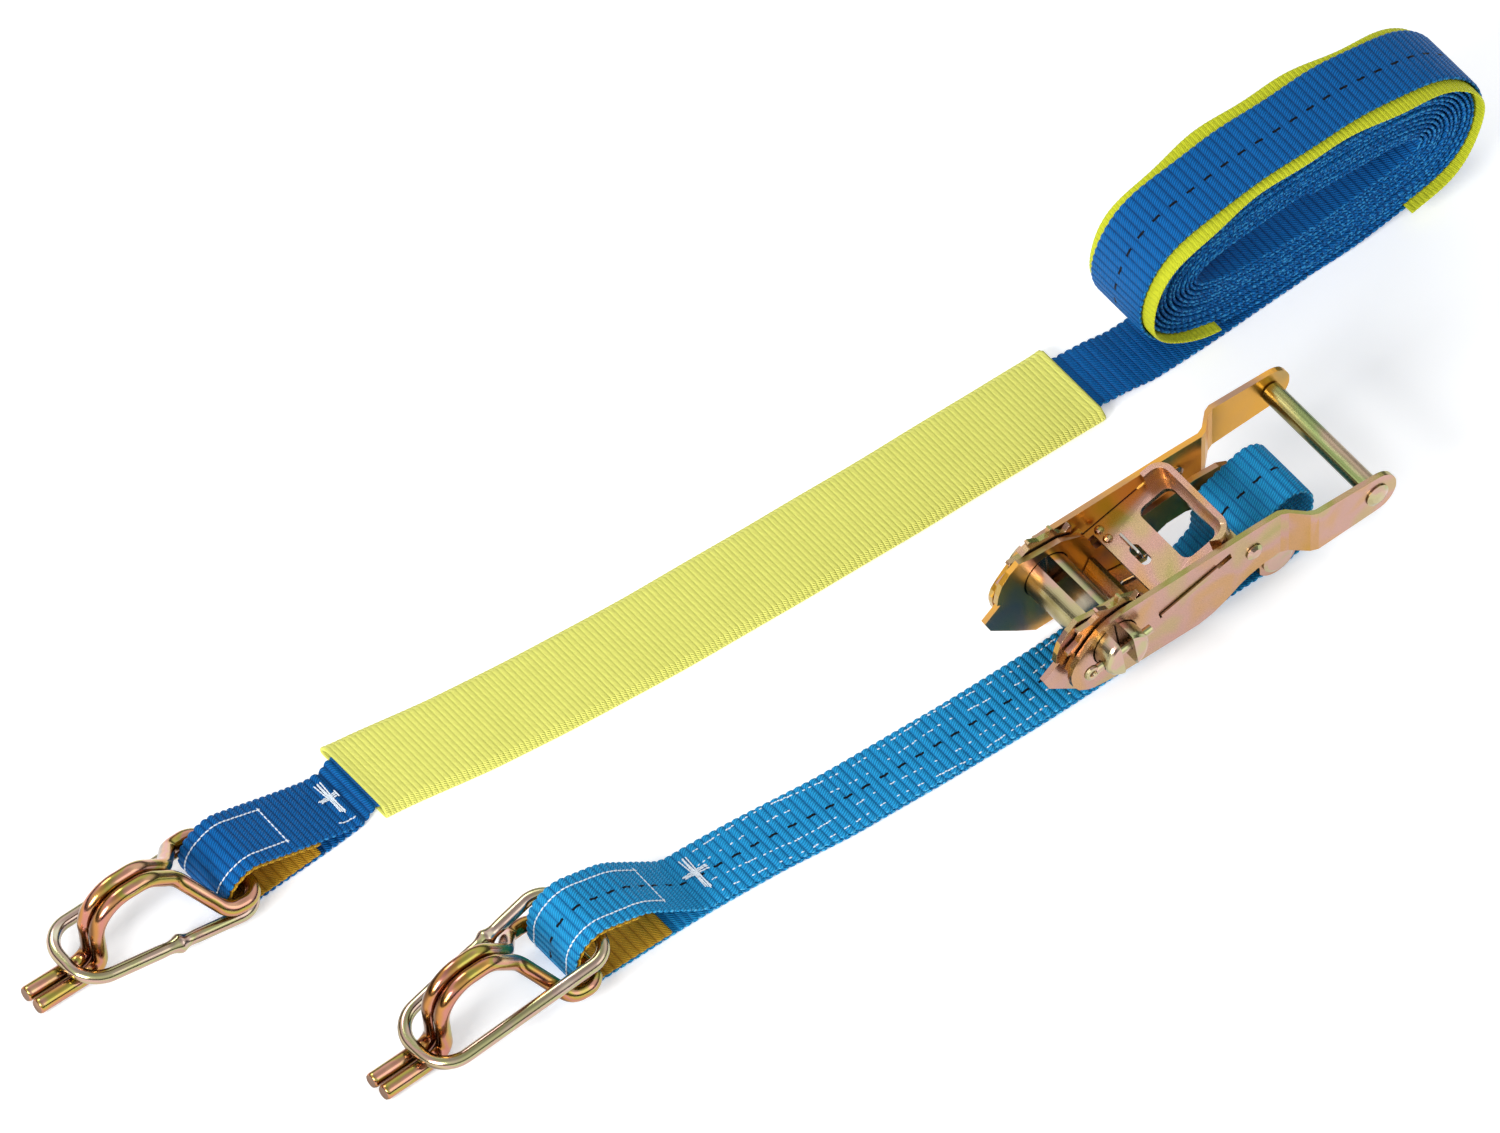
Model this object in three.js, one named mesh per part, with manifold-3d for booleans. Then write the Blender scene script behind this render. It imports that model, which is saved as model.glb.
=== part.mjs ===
// A cargo lashing strap with a ratchet, in its two halves, laid out side by side on a floor.
// The long half is a hooked strap with a slide-on sleeve and its free end rolled up on edge.
// The short half is a hooked, doubled strap sewn round the bolt of the ratchet.
// X runs along the straps from the hooks to the roll, Y goes to the back, Z is up, millimetres.
import * as THREE from 'three';
import { mergeVertices } from 'three/addons/utils/BufferGeometryUtils.js';
import Module from 'manifold-3d';

const wasm = await Module();
wasm.setup();

// Webbing
const webbingWidth = 25;
const webbingThickness = 1.3;
const layerGap = 0.45;
const padThickness = 1;
const clearance = 0.3;
const doubleThickness = 2 * webbingThickness + layerGap;

// Ratchet, across its layers from the middle outwards
const plateThickness = 2;
const frameInside = 27.5;
const sideGap = 0.6;
const wheelThickness = 2;
const spoolRadius = 8.5;
const spoolSlot = 5;
const spoolTilt = THREE.MathUtils.degToRad(9);
const toothCount = 12;
const toothTipRadius = 17.5;
const toothRootRadius = 14.5;
const boltReach = 70;
const boltDrop = 17;
const frameDrop = 25.6;
const gripReach = 100.5;
const gripRise = 2.3;
const armHeight = 30;
const gripSpread = 6.9;

// Bent rods at the ends
const hookRod = 5.3;
const hookLength = 79;
const hookWidth = 33;
const hookHeight = 32.6;
const keeperRod = 4.6;
const keeperLength = 65;
const keeperEyeWidth = 34.5;
const keeperOuterWidth = 24;

// Roll of webbing and sleeve
const rollLength = 142;
const rollHeight = 68;
const rollTurns = 13.5;
const rollPitch = webbingThickness + layerGap;
const sleeveLength = 277.5;
const sleeveWidth = 34.5;
const sleeveWall = 0.8;

// Places of the parts on the floor, from the middle of the layout
const ratchetX = 57.2;
const ratchetY = -92;
const rollX = 212;
const sleeveX = -152.5;
const sleeveTravel = 12;
const longEyeX = -218;
const shortEyeX = -150.5;
const ratchetZ = doubleThickness + clearance + frameDrop;

// Finish of the materials
const blueWebbing = new THREE.MeshStandardMaterial({ color: '#0f62b0', roughness: 0.8, metalness: 0 });
const lightBlueWebbing = new THREE.MeshStandardMaterial({ color: '#1c7fc4', roughness: 0.8, metalness: 0 });
const yellowSleeve = new THREE.MeshStandardMaterial({ color: '#d8ec1c', roughness: 0.7, metalness: 0 });
const goldenPad = new THREE.MeshStandardMaterial({ color: '#d9a521', roughness: 0.8, metalness: 0 });
const yellowZinc = new THREE.MeshStandardMaterial({ color: '#c9a04e', roughness: 0.35, metalness: 1 });
const paleZinc = new THREE.MeshStandardMaterial({ color: '#b9b9b4', roughness: 0.35, metalness: 1 });

const strap = new THREE.Group();
const ratchet = new THREE.Group();
ratchet.position.set(ratchetX, ratchetY, ratchetZ);
strap.add(ratchet);

function addPiece(group, name, geometry, material) {
  const mesh = new THREE.Mesh(geometry, material);
  mesh.name = name;
  group.add(mesh);
  return mesh;
}

// Indexed body with its faces turned outwards.
function closedBody(points, index) {
  const at = (i) => points[i];
  let volume = 0;
  for (let i = 0; i < index.length; i += 3) {
    volume += at(index[i]).dot(new THREE.Vector3().crossVectors(at(index[i + 1]), at(index[i + 2])));
  }
  const faces = volume < 0 ? index.slice().reverse() : index;
  const geometry = new THREE.BufferGeometry();
  geometry.setAttribute('position', new THREE.Float32BufferAttribute(points.flatMap((p) => p.toArray()), 3));
  geometry.setIndex(faces);
  geometry.computeVertexNormals();
  return geometry;
}

// Skin between neighbouring rings of points, closed round the loop or capped at both ends.
function loft(rings, closed = false) {
  const count = rings[0].length;
  const index = [];
  const spans = closed ? rings.length : rings.length - 1;
  for (let i = 0; i < spans; i += 1) {
    const here = i * count;
    const next = ((i + 1) % rings.length) * count;
    for (let j = 0; j < count; j += 1) {
      const k = (j + 1) % count;
      index.push(here + j, here + k, next + k);
      index.push(here + j, next + k, next + j);
    }
  }
  if (!closed) {
    const end = (rings.length - 1) * count;
    for (let j = 1; j < count - 1; j += 1) {
      index.push(0, j + 1, j);
      index.push(end, end + j, end + j + 1);
    }
  }
  return closedBody(rings.flat(), index);
}

// Skin of a hollow sleeve: outer rings, inner rings and a flat rim at each end.
function hollowLoft(outer, inner) {
  const count = outer[0].length;
  const points = [...outer.flat(), ...inner.flat()];
  const shift = outer.length * count;
  const index = [];
  for (let i = 0; i < outer.length - 1; i += 1) {
    for (let j = 0; j < count; j += 1) {
      const k = (j + 1) % count;
      const a = i * count + j;
      const b = i * count + k;
      index.push(a, b, b + count, a, b + count, a + count);
      index.push(shift + a, shift + b + count, shift + b, shift + a, shift + a + count, shift + b + count);
    }
  }
  const end = (outer.length - 1) * count;
  for (let j = 0; j < count; j += 1) {
    const k = (j + 1) % count;
    index.push(j, shift + k, k, j, shift + j, shift + k);
    index.push(end + j, end + k, end + shift + k, end + j, end + shift + k, end + shift + j);
  }
  return closedBody(points, index);
}

// Points along a chain of corners, each rounded by its own radius.
function roundedPath(corners, arcStep, closed = false) {
  const path = [];
  const total = corners.length;
  corners.forEach((corner, i) => {
    const open = !closed && (i === 0 || i === total - 1);
    if (open || !corner.radius) {
      path.push(corner.point.clone());
      return;
    }
    const before = corners[(i + total - 1) % total].point;
    const after = corners[(i + 1) % total].point;
    const way = new THREE.Vector3().subVectors(corner.point, before).normalize();
    const out = new THREE.Vector3().subVectors(after, corner.point).normalize();
    const turn = way.angleTo(out);
    const axis = new THREE.Vector3().crossVectors(way, out).normalize();
    const start = corner.point.clone().addScaledVector(way, -corner.radius * Math.tan(turn / 2));
    const centre = start.clone().addScaledVector(new THREE.Vector3().crossVectors(axis, way), corner.radius);
    const steps = Math.max(2, Math.ceil(turn / arcStep));
    for (let s = 0; s <= steps; s += 1) {
      path.push(start.clone().sub(centre).applyAxisAngle(axis, (turn * s) / steps).add(centre));
    }
  });
  return path;
}

// Round bar bent along a path.
function bentRod(path, radius, sides, closed = false) {
  const total = path.length;
  const way = path.map((p, i) => {
    const before = closed ? path[(i + total - 1) % total] : path[Math.max(i - 1, 0)];
    const after = closed ? path[(i + 1) % total] : path[Math.min(i + 1, total - 1)];
    const into = new THREE.Vector3().subVectors(p, before).normalize();
    const out = new THREE.Vector3().subVectors(after, p).normalize();
    return into.add(out).normalize();
  });
  let side = new THREE.Vector3(0, 0, 1).cross(way[0]).normalize();
  const rings = path.map((p, i) => {
    side = side.clone().addScaledVector(way[i], -side.dot(way[i])).normalize();
    const up = new THREE.Vector3().crossVectors(way[i], side);
    const ring = [];
    for (let j = 0; j < sides; j += 1) {
      const angle = (2 * Math.PI * j) / sides;
      const spoke = side.clone().multiplyScalar(Math.cos(angle)).addScaledVector(up, Math.sin(angle));
      ring.push(p.clone().addScaledVector(spoke, radius));
    }
    return ring;
  });
  return loft(rings, closed);
}

// Sideways place along a lane of [x, y] points, as a smooth line.
function laneAt(lane, x) {
  const last = lane.length - 1;
  const k = Math.max(0, Math.min(last - 1, lane.findIndex((p) => p[0] > x) - 1));
  const i = x >= lane[last][0] ? last - 1 : k;
  const slope = (a, b) => (lane[b][1] - lane[a][1]) / (lane[b][0] - lane[a][0]);
  const m0 = slope(Math.max(i - 1, 0), i + 1);
  const m1 = slope(i, Math.min(i + 2, last));
  const span = lane[i + 1][0] - lane[i][0];
  const t = THREE.MathUtils.clamp((x - lane[i][0]) / span, 0, 1);
  const h = t * t * (3 - 2 * t);
  const tangents = span * (m0 * t * (1 - t) ** 2 - m1 * t * t * (1 - t));
  return lane[i][1] * (1 - h) + lane[i + 1][1] * h + tangents;
}

// Straight stretches of a path cut into steps, so that a strap can follow its lane.
function cutLong(path, step, closed) {
  const result = [];
  path.forEach((p, i) => {
    result.push(p);
    const next = path[i + 1] ?? (closed ? path[0] : null);
    if (next) {
      const pieces = Math.ceil(p.distanceTo(next) / step);
      for (let s = 1; s < pieces; s += 1) {
        result.push(p.clone().lerp(next, s / pieces));
      }
    }
  });
  return result;
}

// Flat webbing on edge to its path in the X-Z plane.
function ribbon(path, thickness, width, sidePlace, closed = false) {
  const total = path.length;
  const rings = path.map((p, i) => {
    const before = closed ? path[(i + total - 1) % total] : path[Math.max(i - 1, 0)];
    const after = closed ? path[(i + 1) % total] : path[Math.min(i + 1, total - 1)];
    const into = new THREE.Vector3().subVectors(p, before).normalize();
    const out = new THREE.Vector3().subVectors(after, p).normalize();
    const way = into.clone().add(out).normalize();
    const mitre = Math.max(into.lengthSq() > 0 && out.lengthSq() > 0 ? way.dot(out) : 1, 0.5);
    const normal = new THREE.Vector3(-way.z, 0, way.x).multiplyScalar(thickness / 2 / mitre);
    const y = sidePlace(p.x);
    const corner = (up, across) => new THREE.Vector3(p.x, y + (across * width) / 2, p.z).addScaledVector(normal, up);
    return [corner(1, -1), corner(1, 1), corner(-1, 1), corner(-1, -1)];
  });
  return loft(rings, closed);
}

// Corner chain shifted sideways by a distance, for a lining that follows a strap.
function offsetCorners(corners, distance) {
  const lines = [];
  for (let i = 0; i < corners.length - 1; i += 1) {
    const a = corners[i].point;
    const way = new THREE.Vector3().subVectors(corners[i + 1].point, a).normalize();
    const normal = new THREE.Vector3(-way.z, 0, way.x);
    lines.push({ start: a.clone().addScaledVector(normal, distance), way, normal });
  }
  return corners.map((corner, i) => {
    if (i === 0) {
      return { point: lines[0].start };
    }
    if (i === corners.length - 1) {
      return { point: corner.point.clone().addScaledVector(lines[i - 1].normal, distance) };
    }
    const one = lines[i - 1];
    const two = lines[i];
    const cross = one.way.x * two.way.z - one.way.z * two.way.x;
    const gap = new THREE.Vector3().subVectors(two.start, one.start);
    const along = (gap.x * two.way.z - gap.z * two.way.x) / cross;
    const radius = corner.radius - Math.sign(cross) * distance;
    return { point: one.start.clone().addScaledVector(one.way, along), radius };
  });
}

const weldDistance = 0.0001;

function toSolid(geometry) {
  const bare = geometry.clone();
  bare.deleteAttribute('normal');
  bare.deleteAttribute('uv');
  const merged = mergeVertices(bare, weldDistance);
  const vertProperties = new Float32Array(merged.attributes.position.array);
  const triVerts = new Uint32Array(merged.index.array);
  return new wasm.Manifold(new wasm.Mesh({ numProp: 3, vertProperties, triVerts }));
}

function fromSolid(solid) {
  const mesh = solid.getMesh();
  const geometry = new THREE.BufferGeometry();
  geometry.setAttribute('position', new THREE.Float32BufferAttribute(mesh.vertProperties, 3));
  geometry.setIndex(Array.from(mesh.triVerts));
  geometry.computeVertexNormals();
  return geometry;
}

function cutAway(geometry, tools) {
  return fromSolid(tools.reduce((solid, tool) => solid.subtract(toSolid(tool)), toSolid(geometry)));
}

function fuse(geometries) {
  return fromSolid(geometries.map(toSolid).reduce((one, two) => one.add(two)));
}

// Plate standing across the Y axis, from an outline in the X-Z plane.
function sidePlate(shape, yLow, yHigh, curveSegments = 12) {
  const geometry = new THREE.ExtrudeGeometry(shape, { depth: yHigh - yLow, bevelEnabled: false, curveSegments });
  geometry.rotateX(Math.PI / 2);
  geometry.translate(0, yHigh, 0);
  return geometry;
}

// Round bar along Y with its middle at x, z.
function crossBar(radius, yLow, yHigh, x, z, segments = 24) {
  const geometry = new THREE.CylinderGeometry(radius, radius, yHigh - yLow, segments);
  geometry.translate(x, (yLow + yHigh) / 2, z);
  return geometry;
}

// Turned pin along Y: a list of [radius, y] steps from one end to the other.
function turnedPin(profile, x, z, segments = 20) {
  const points = profile.map(([radius, y]) => new THREE.Vector2(radius, y));
  const geometry = new THREE.LatheGeometry(points, segments);
  geometry.translate(x, 0, z);
  return geometry;
}

function shapeFrom(points) {
  const shape = new THREE.Shape();
  points.forEach(([x, z], i) => (i ? shape.lineTo(x, z) : shape.moveTo(x, z)));
  return shape;
}

// Layers of the ratchet from the middle plane outwards
const frameIn = frameInside / 2;
const frameOut = frameIn + plateThickness;
const wheelIn = frameOut + sideGap;
const wheelOut = wheelIn + wheelThickness;
const armIn = wheelOut + sideGap;
const armOut = armIn + plateThickness;
const overrun = 1;
const boreClearance = 0.4;

// Frame pawl: a flat bar that slides in slots of both frame plates and holds the wheels.
// Its middle plane passes below the spool axis and falls away from the wheel.
const framePawlOffset = 15.18;
const framePawlSlope = THREE.MathUtils.degToRad(-9);
const framePawlStart = 24.5;
const framePawlEnd = 37;
const framePawlTravel = 4;
const slotClearance = 0.5;

// Handle pawl: a pressed plate between the handle arms that drives the wheels.
const handlePawlOffset = 6.06;
const handlePawlSlope = THREE.MathUtils.degToRad(15.5);
const handlePawlTip = 15.03;
const handlePawlTravel = 5.5;
const pawlEarStart = 17.4;
const pawlEarEnd = 41;

// The steep tooth faces stand just clear of the handle pawl's flank, and the frame pawl meets one two teeth on.
const toothPitch = (2 * Math.PI) / toothCount;
const pawlPlay = THREE.MathUtils.degToRad(1.1);
const handleFlank = handlePawlOffset + plateThickness / 2;
const handleTipRadius = Math.hypot(handlePawlOffset, handlePawlTip);
const steepFace = handlePawlSlope - Math.PI / 2 + Math.acos(handleFlank / handleTipRadius) - pawlPlay;
const framePawlSwing = steepFace - 2 * toothPitch + pawlPlay + Math.PI / 2 - framePawlSlope;
const framePawlTip = framePawlOffset * Math.tan(framePawlSwing);

// Turns a body drawn along a pawl's own plane into the ratchet's frame.
function intoPawlPlane(geometry, slope, offset) {
  geometry.translate(0, 0, -offset);
  geometry.rotateY(-slope);
  return geometry;
}

function pawlSlot(slope, offset, start, end, side) {
  const height = plateThickness + 2 * slotClearance;
  const depth = 4 * armOut;
  const box = new THREE.BoxGeometry(end - start, depth, height);
  box.translate((start + end) / 2, side * depth * 0.5, 0);
  return intoPawlPlane(box, slope, offset);
}

// Frame plates: the beak at the spool end, the raised cheek round the spool, an arch and the ear of the bolt.
// Each row is a place along the plate and a height, as shares of the bolt's reach and the frame's drop.
const frameTopShares = [
  [1.1, -0.31], [1.064, -0.12], [1, -0.02], [0.857, 0.012], [0.286, -0.125], [0.242, 0.16], [0.197, 0.32],
  [0.086, 0.453], [-0.086, 0.49], [-0.159, 0.535], [-0.213, 0.43], [-0.256, 0.297], [-0.276, 0.13],
  [-0.284, -0.027], [-0.264, -0.059], [-0.353, -0.25], [-0.32, -0.449], [-0.166, -0.781], [-0.056, -1],
];
const frameArchShares = [
  [0.586, -1], [0.607, -0.74], [0.65, -0.57], [0.7, -0.51], [0.81, -0.51], [0.87, -0.58], [0.9, -0.7],
];
const frameEarRadius = 8;
const frameEarFrom = THREE.MathUtils.degToRad(-150);

function framePlate(side) {
  const toPoint = ([x, z]) => [x * boltReach, z * frameDrop];
  const shape = shapeFrom(frameArchShares.map(toPoint));
  shape.absarc(boltReach, -boltDrop, frameEarRadius, frameEarFrom, 0, false);
  frameTopShares.map(toPoint).forEach(([x, z]) => shape.lineTo(x, z));
  const low = side > 0 ? frameIn : -frameOut;
  const plate = sidePlate(shape, low, low + plateThickness);
  const spoolBore = crossBar(spoolRadius + boreClearance, low - overrun, low + plateThickness + overrun, 0, 0, 32);
  const boltBore = crossBar(
    boltRadius + clearance, low - overrun, low + plateThickness + overrun, boltReach, -boltDrop, 24,
  );
  const slotEnd = framePawlEnd + framePawlTravel + slotClearance;
  const slot = pawlSlot(framePawlSlope, framePawlOffset, framePawlStart - slotClearance, slotEnd, side);
  return cutAway(plate, [spoolBore, boltBore, slot]);
}

// Bolt that the short strap is sewn round, riveted over outside both frame plates.
const boltRadius = 4.2;
const boltHeadRadius = 6;
const boltHead = 1.2;

function frameBolt() {
  const seat = frameOut + clearance / 2;
  const end = seat + boltHead;
  return turnedPin([
    [0, -end], [boltHeadRadius * 0.8, -end], [boltHeadRadius, -seat - boltHead / 2], [boltHeadRadius, -seat],
    [boltRadius, -seat], [boltRadius, seat], [boltHeadRadius, seat], [boltHeadRadius, seat + boltHead / 2],
    [boltHeadRadius * 0.8, end], [0, end],
  ], boltReach, -boltDrop);
}

// Curved cross plate that ties the frame plates together under the spool.
const frameWebRadius = 19;
const frameWebFrom = THREE.MathUtils.degToRad(-75);
const frameWebTo = THREE.MathUtils.degToRad(-18);

function frameWeb() {
  const shape = new THREE.Shape();
  const inner = frameWebRadius - plateThickness / 2;
  const outer = frameWebRadius + plateThickness / 2;
  shape.absarc(0, 0, outer, frameWebFrom, frameWebTo, false);
  shape.absarc(0, 0, inner, frameWebTo, frameWebFrom, true);
  return sidePlate(shape, -frameIn + clearance, frameIn - clearance, 8);
}

// The pawl bar passes through both frame plates, and its two prongs run back outside them to the wheels.
const prongInset = 0.1;
const prongIn = wheelIn + prongInset;
const prongOut = wheelOut - prongInset;

function framePawl() {
  const outline = shapeFrom([
    [framePawlEnd, -prongOut], [framePawlEnd, prongOut], [framePawlTip, prongOut], [framePawlTip, prongIn],
    [framePawlStart, prongIn], [framePawlStart, -prongIn], [framePawlTip, -prongIn], [framePawlTip, -prongOut],
  ]);
  const plate = new THREE.ExtrudeGeometry(outline, { depth: plateThickness, bevelEnabled: false });
  plate.translate(0, 0, -plateThickness / 2);
  return intoPawlPlane(plate, framePawlSlope, framePawlOffset);
}

// Spring wire that lies on the pawl bar and reaches back towards the bolt.
const pawlWire = 1.2;
const framePawlSpringHalf = 7;
const framePawlSpringReach = 10;

function framePawlSpring() {
  const z = plateThickness / 2 + clearance / 2 + pawlWire / 2;
  const near = framePawlStart + pawlWire;
  const far = framePawlEnd + framePawlSpringReach;
  const corners = [
    { point: new THREE.Vector3(far, -framePawlSpringHalf, z) },
    { point: new THREE.Vector3(near, -framePawlSpringHalf, z), radius: 2 * pawlWire },
    { point: new THREE.Vector3(near, framePawlSpringHalf, z), radius: 2 * pawlWire },
    { point: new THREE.Vector3(far, framePawlSpringHalf, z) },
  ];
  const wire = bentRod(roundedPath(corners, Math.PI / 6), pawlWire / 2, 8);
  return intoPawlPlane(wire, framePawlSlope, framePawlOffset);
}

// Ratchet wheels: saw teeth whose steep faces meet the pawls, and two D-shaped holes for the spool halves.
const toothFlatShare = 0.1;
const toothRiseShare = 0.433;

function polar(radius, angle) {
  return [radius * Math.cos(angle), radius * Math.sin(angle)];
}

function wheelShape() {
  const points = [];
  for (let i = 0; i < toothCount; i += 1) {
    const face = steepFace + i * toothPitch;
    const flat = face - toothFlatShare * toothPitch;
    points.push(polar(toothRootRadius, flat - toothRiseShare * toothPitch));
    points.push(polar(toothTipRadius, flat));
    points.push(polar(toothTipRadius, face));
    points.push(polar(toothRootRadius, face));
    points.push(polar(toothRootRadius, face + (1 - toothFlatShare - toothRiseShare) * 0.5 * toothPitch));
  }
  return shapeFrom(points);
}

function spoolHalfOutline(radius, flat, side) {
  const angle = Math.acos(flat / radius);
  const shape = new THREE.Shape();
  const turn = (side > 0 ? 0 : Math.PI) + spoolTilt;
  shape.absarc(0, 0, radius, turn - angle, turn + angle, false);
  return shape;
}

function wheel(side) {
  const low = side > 0 ? wheelIn : -wheelOut;
  const blank = sidePlate(wheelShape(), low, low + wheelThickness);
  const holes = [1, -1].map((half) => {
    const outline = spoolHalfOutline(spoolRadius + clearance, spoolSlot / 2 - clearance, half);
    return sidePlate(outline, low - overrun, low + wheelThickness + overrun, 16);
  });
  return cutAway(blank, holes);
}

// Spool halves: two half-round bars with the webbing slot between their flat faces, headed at the far end.
const spoolEndReach = 7.5;
const spoolEndRound = 2;
const spoolHeadRadius = 10.2;
const spoolHead = 1.2;
const spoolHeadEdge = 0.4;
const spoolEndSteps = 3;
const spoolArcSteps = 16;
const splitPinDiameter = 3;
const splitPinStandOff = 2.4;
const splitPinLength = 23;
const splitPinEye = 2.4;

const splitPinPlace = armOut + splitPinStandOff + splitPinDiameter / 2;

function splitPinHole() {
  const hole = new THREE.CylinderGeometry(
    splitPinDiameter / 2 + clearance, splitPinDiameter / 2 + clearance, 3 * splitPinLength, 16,
  );
  hole.rotateZ(Math.PI / 2);
  hole.translate(0, -splitPinPlace, 0);
  hole.rotateY(-spoolTilt);
  return hole;
}

function spoolHalf(side) {
  const end = armOut + spoolEndReach;
  const head = armOut + clearance;
  const stations = [];
  for (let i = 0; i <= spoolEndSteps; i += 1) {
    const angle = (Math.PI / 2) * (i / spoolEndSteps);
    stations.push([spoolRadius - spoolEndRound * (1 - Math.sin(angle)), spoolEndRound * (1 - Math.cos(angle)) - end]);
  }
  stations.push([spoolRadius, head], [spoolHeadRadius, head], [spoolHeadRadius, head + spoolHead - spoolHeadEdge]);
  stations.push([spoolHeadRadius - spoolHeadEdge, head + spoolHead]);
  const rings = stations.map(([radius, y]) => {
    const outline = spoolHalfOutline(radius, spoolSlot / 2, side).getPoints(spoolArcSteps);
    return outline.map((p) => new THREE.Vector3(p.x, y, p.y));
  });
  return cutAway(loft(rings), [splitPinHole()]);
}

// Split pin: a round shank with an eye at one end, through both spool halves outside the near arm.
function splitPin() {
  const shank = new THREE.CylinderGeometry(splitPinDiameter / 2, splitPinDiameter / 2, splitPinLength, 14);
  shank.rotateZ(Math.PI / 2);
  const eye = new THREE.TorusGeometry(splitPinEye / 2 + splitPinDiameter / 4, splitPinDiameter / 3, 8, 14);
  eye.rotateX(Math.PI / 2);
  eye.translate(-splitPinLength / 2 - splitPinEye / 2, 0, 0);
  const pin = fuse([shank, eye]);
  pin.translate(0, -splitPinPlace, 0);
  pin.rotateY(-spoolTilt);
  return pin;
}

// Handle arms: a flat side plate from the spool to the set-out grip end.
// Each row is the place along the arm and its top and bottom edges, as shares of reach and height.
const armEdgeShares = [
  [-0.1751, -0.13, -0.21], [-0.1672, -0.04, -0.33], [-0.1431, 0.067, -0.45], [-0.1045, 0.2, -0.535],
  [-0.0648, 0.317, -0.57], [-0.0209, 0.375, -0.593], [0.0313, 0.4, -0.603], [0.3385, 0.4, -0.613],
  [0.397, 0.4, -0.57], [0.4493, 0.4, -0.49], [0.5015, 0.4, -0.375], [0.5433, 0.4, -0.313],
  [0.5955, 0.397, -0.267], [0.6582, 0.39, -0.247],
];
const armJoggleShares = [0.6667, 0.766];
const gripEndRadius = 8;

function armOutlineAt(x) {
  const rows = armEdgeShares.map(([along, top, bottom]) => [along * gripReach, top * armHeight, bottom * armHeight]);
  const next = rows.findIndex((row) => row[0] > x);
  if (next > 0) {
    const [x0, top0, bottom0] = rows[next - 1];
    const [x1, top1, bottom1] = rows[next];
    const t = (x - x0) / (x1 - x0);
    return [top0 + t * (top1 - top0), bottom0 + t * (bottom1 - bottom0)];
  }
  const last = rows[rows.length - 1];
  const t = THREE.MathUtils.clamp((x - last[0]) / (gripReach - last[0]), 0, 1);
  const drop = Math.max(0, x - gripReach) / gripEndRadius;
  const half = gripEndRadius * Math.sqrt(Math.max(0.02, 1 - drop * drop));
  const top = last[1] + t * (gripRise + gripEndRadius - last[1]);
  const bottom = last[2] + t * (gripRise - gripEndRadius - last[2]);
  return x > gripReach ? [gripRise + half, gripRise - half] : [top, bottom];
}

function handleArm(side) {
  const places = armEdgeShares.map((row) => row[0] * gripReach);
  const joggle = armJoggleShares.map((share) => share * gripReach);
  for (let i = 0; i <= 4; i += 1) {
    places.push(joggle[0] + ((joggle[1] - joggle[0]) * i) / 4);
  }
  for (let i = 0; i <= 8; i += 1) {
    places.push(gripReach + gripEndRadius * Math.sin((Math.PI / 2) * (i / 8)) * 0.99);
  }
  const rings = places.map((x) => {
    const [top, bottom] = armOutlineAt(x + 1e-6);
    const out = gripSpread * THREE.MathUtils.smoothstep(x, joggle[0], joggle[1]);
    const near = side * (armIn + out);
    const far = side * (armOut + out);
    return [[near, bottom], [far, bottom], [far, top], [near, top]].map(([y, z]) => new THREE.Vector3(x, y, z));
  });
  const middle = side * (armIn + armOut) / 2;
  const reach = plateThickness + overrun;
  const spoolBore = crossBar(spoolRadius + boreClearance, middle - reach, middle + reach, 0, 0, 32);
  const gripMiddle = middle + side * gripSpread;
  const rivetBore = crossBar(rivetRadius + clearance, gripMiddle - reach, gripMiddle + reach, gripReach, gripRise, 20);
  const studBore = crossBar(studRadius + clearance, middle - reach, middle + reach, studX, studZ, 20);
  const slotStart = pawlEarStart - slotClearance;
  const slotEnd = pawlEarEnd + handlePawlTravel + slotClearance;
  const slot = pawlSlot(handlePawlSlope, handlePawlOffset, slotStart, slotEnd, side);
  return cutAway(loft(rings), [spoolBore, rivetBore, studBore, slot]);
}

// Grip: a tube between the set-out ends of the arms, held by a long rivet through both.
const gripTubeRadius = 3.6;
const gripTubeWall = 1;
const rivetRadius = 2.2;
const rivetHeadRadius = 4.3;
const rivetHead = 1.4;

function gripTube() {
  const end = armIn + gripSpread - clearance;
  const inner = gripTubeRadius - gripTubeWall;
  return turnedPin([[inner, -end], [gripTubeRadius, -end], [gripTubeRadius, end], [inner, end], [inner, -end]],
    gripReach, gripRise, 28);
}

function domedRivet(shank, head, height, low, high, x, z) {
  return turnedPin([
    [0, low - height], [head * 0.6, low - height * 0.85], [head, low - height * 0.3], [head, low],
    [shank, low], [shank, high], [head, high], [head, high + height * 0.3],
    [head * 0.6, high + height * 0.85], [0, high + height],
  ], x, z);
}

function gripRivet() {
  const seat = armOut + gripSpread + clearance / 2;
  return domedRivet(rivetRadius, rivetHeadRadius, rivetHead, -seat, seat, gripReach, gripRise);
}

// Stop studs riveted in the arms, over the frame plates.
const studRadius = 1.8;
const studHeadRadius = 3.1;
const studHead = 1.5;
const studPlaceShare = 0.5592;
const studX = studPlaceShare * gripReach;
const studZ = 1.5;

function stopStud(side) {
  const low = Math.min(side * armIn, side * armOut) - clearance / 2;
  const high = Math.max(side * armIn, side * armOut) + clearance / 2;
  return domedRivet(studRadius, studHeadRadius, studHead, low, high, studX, studZ);
}

// Handle pawl plate: prongs to the wheels, ears through the arm slots, a window, and a raised finger rim.
const pawlCutEdge = 20.6;
const pawlPlateEnd = 52.6;
const pawlBodyHalf = 18.5;
const pawlEarReach = 0.8;
const windowStart = 35.5;
const windowEnd = 49;
const windowHalf = 12.5;
const windowCorner = 3;
const springHoleX = 26.6;
const springHoleLength = 9;
const springHoleWidth = 3.6;
const rimHeight = 7.4;
const rimCorner = 6;
const rimReturn = 9;
const pawlBossRadius = 1.9;
const pawlBossHeight = 1.6;
const pawlBossX = 22.9;
const pawlBossPlaces = [11.9, 16.3];
const bossCut = 4 * pawlBossRadius;

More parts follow.
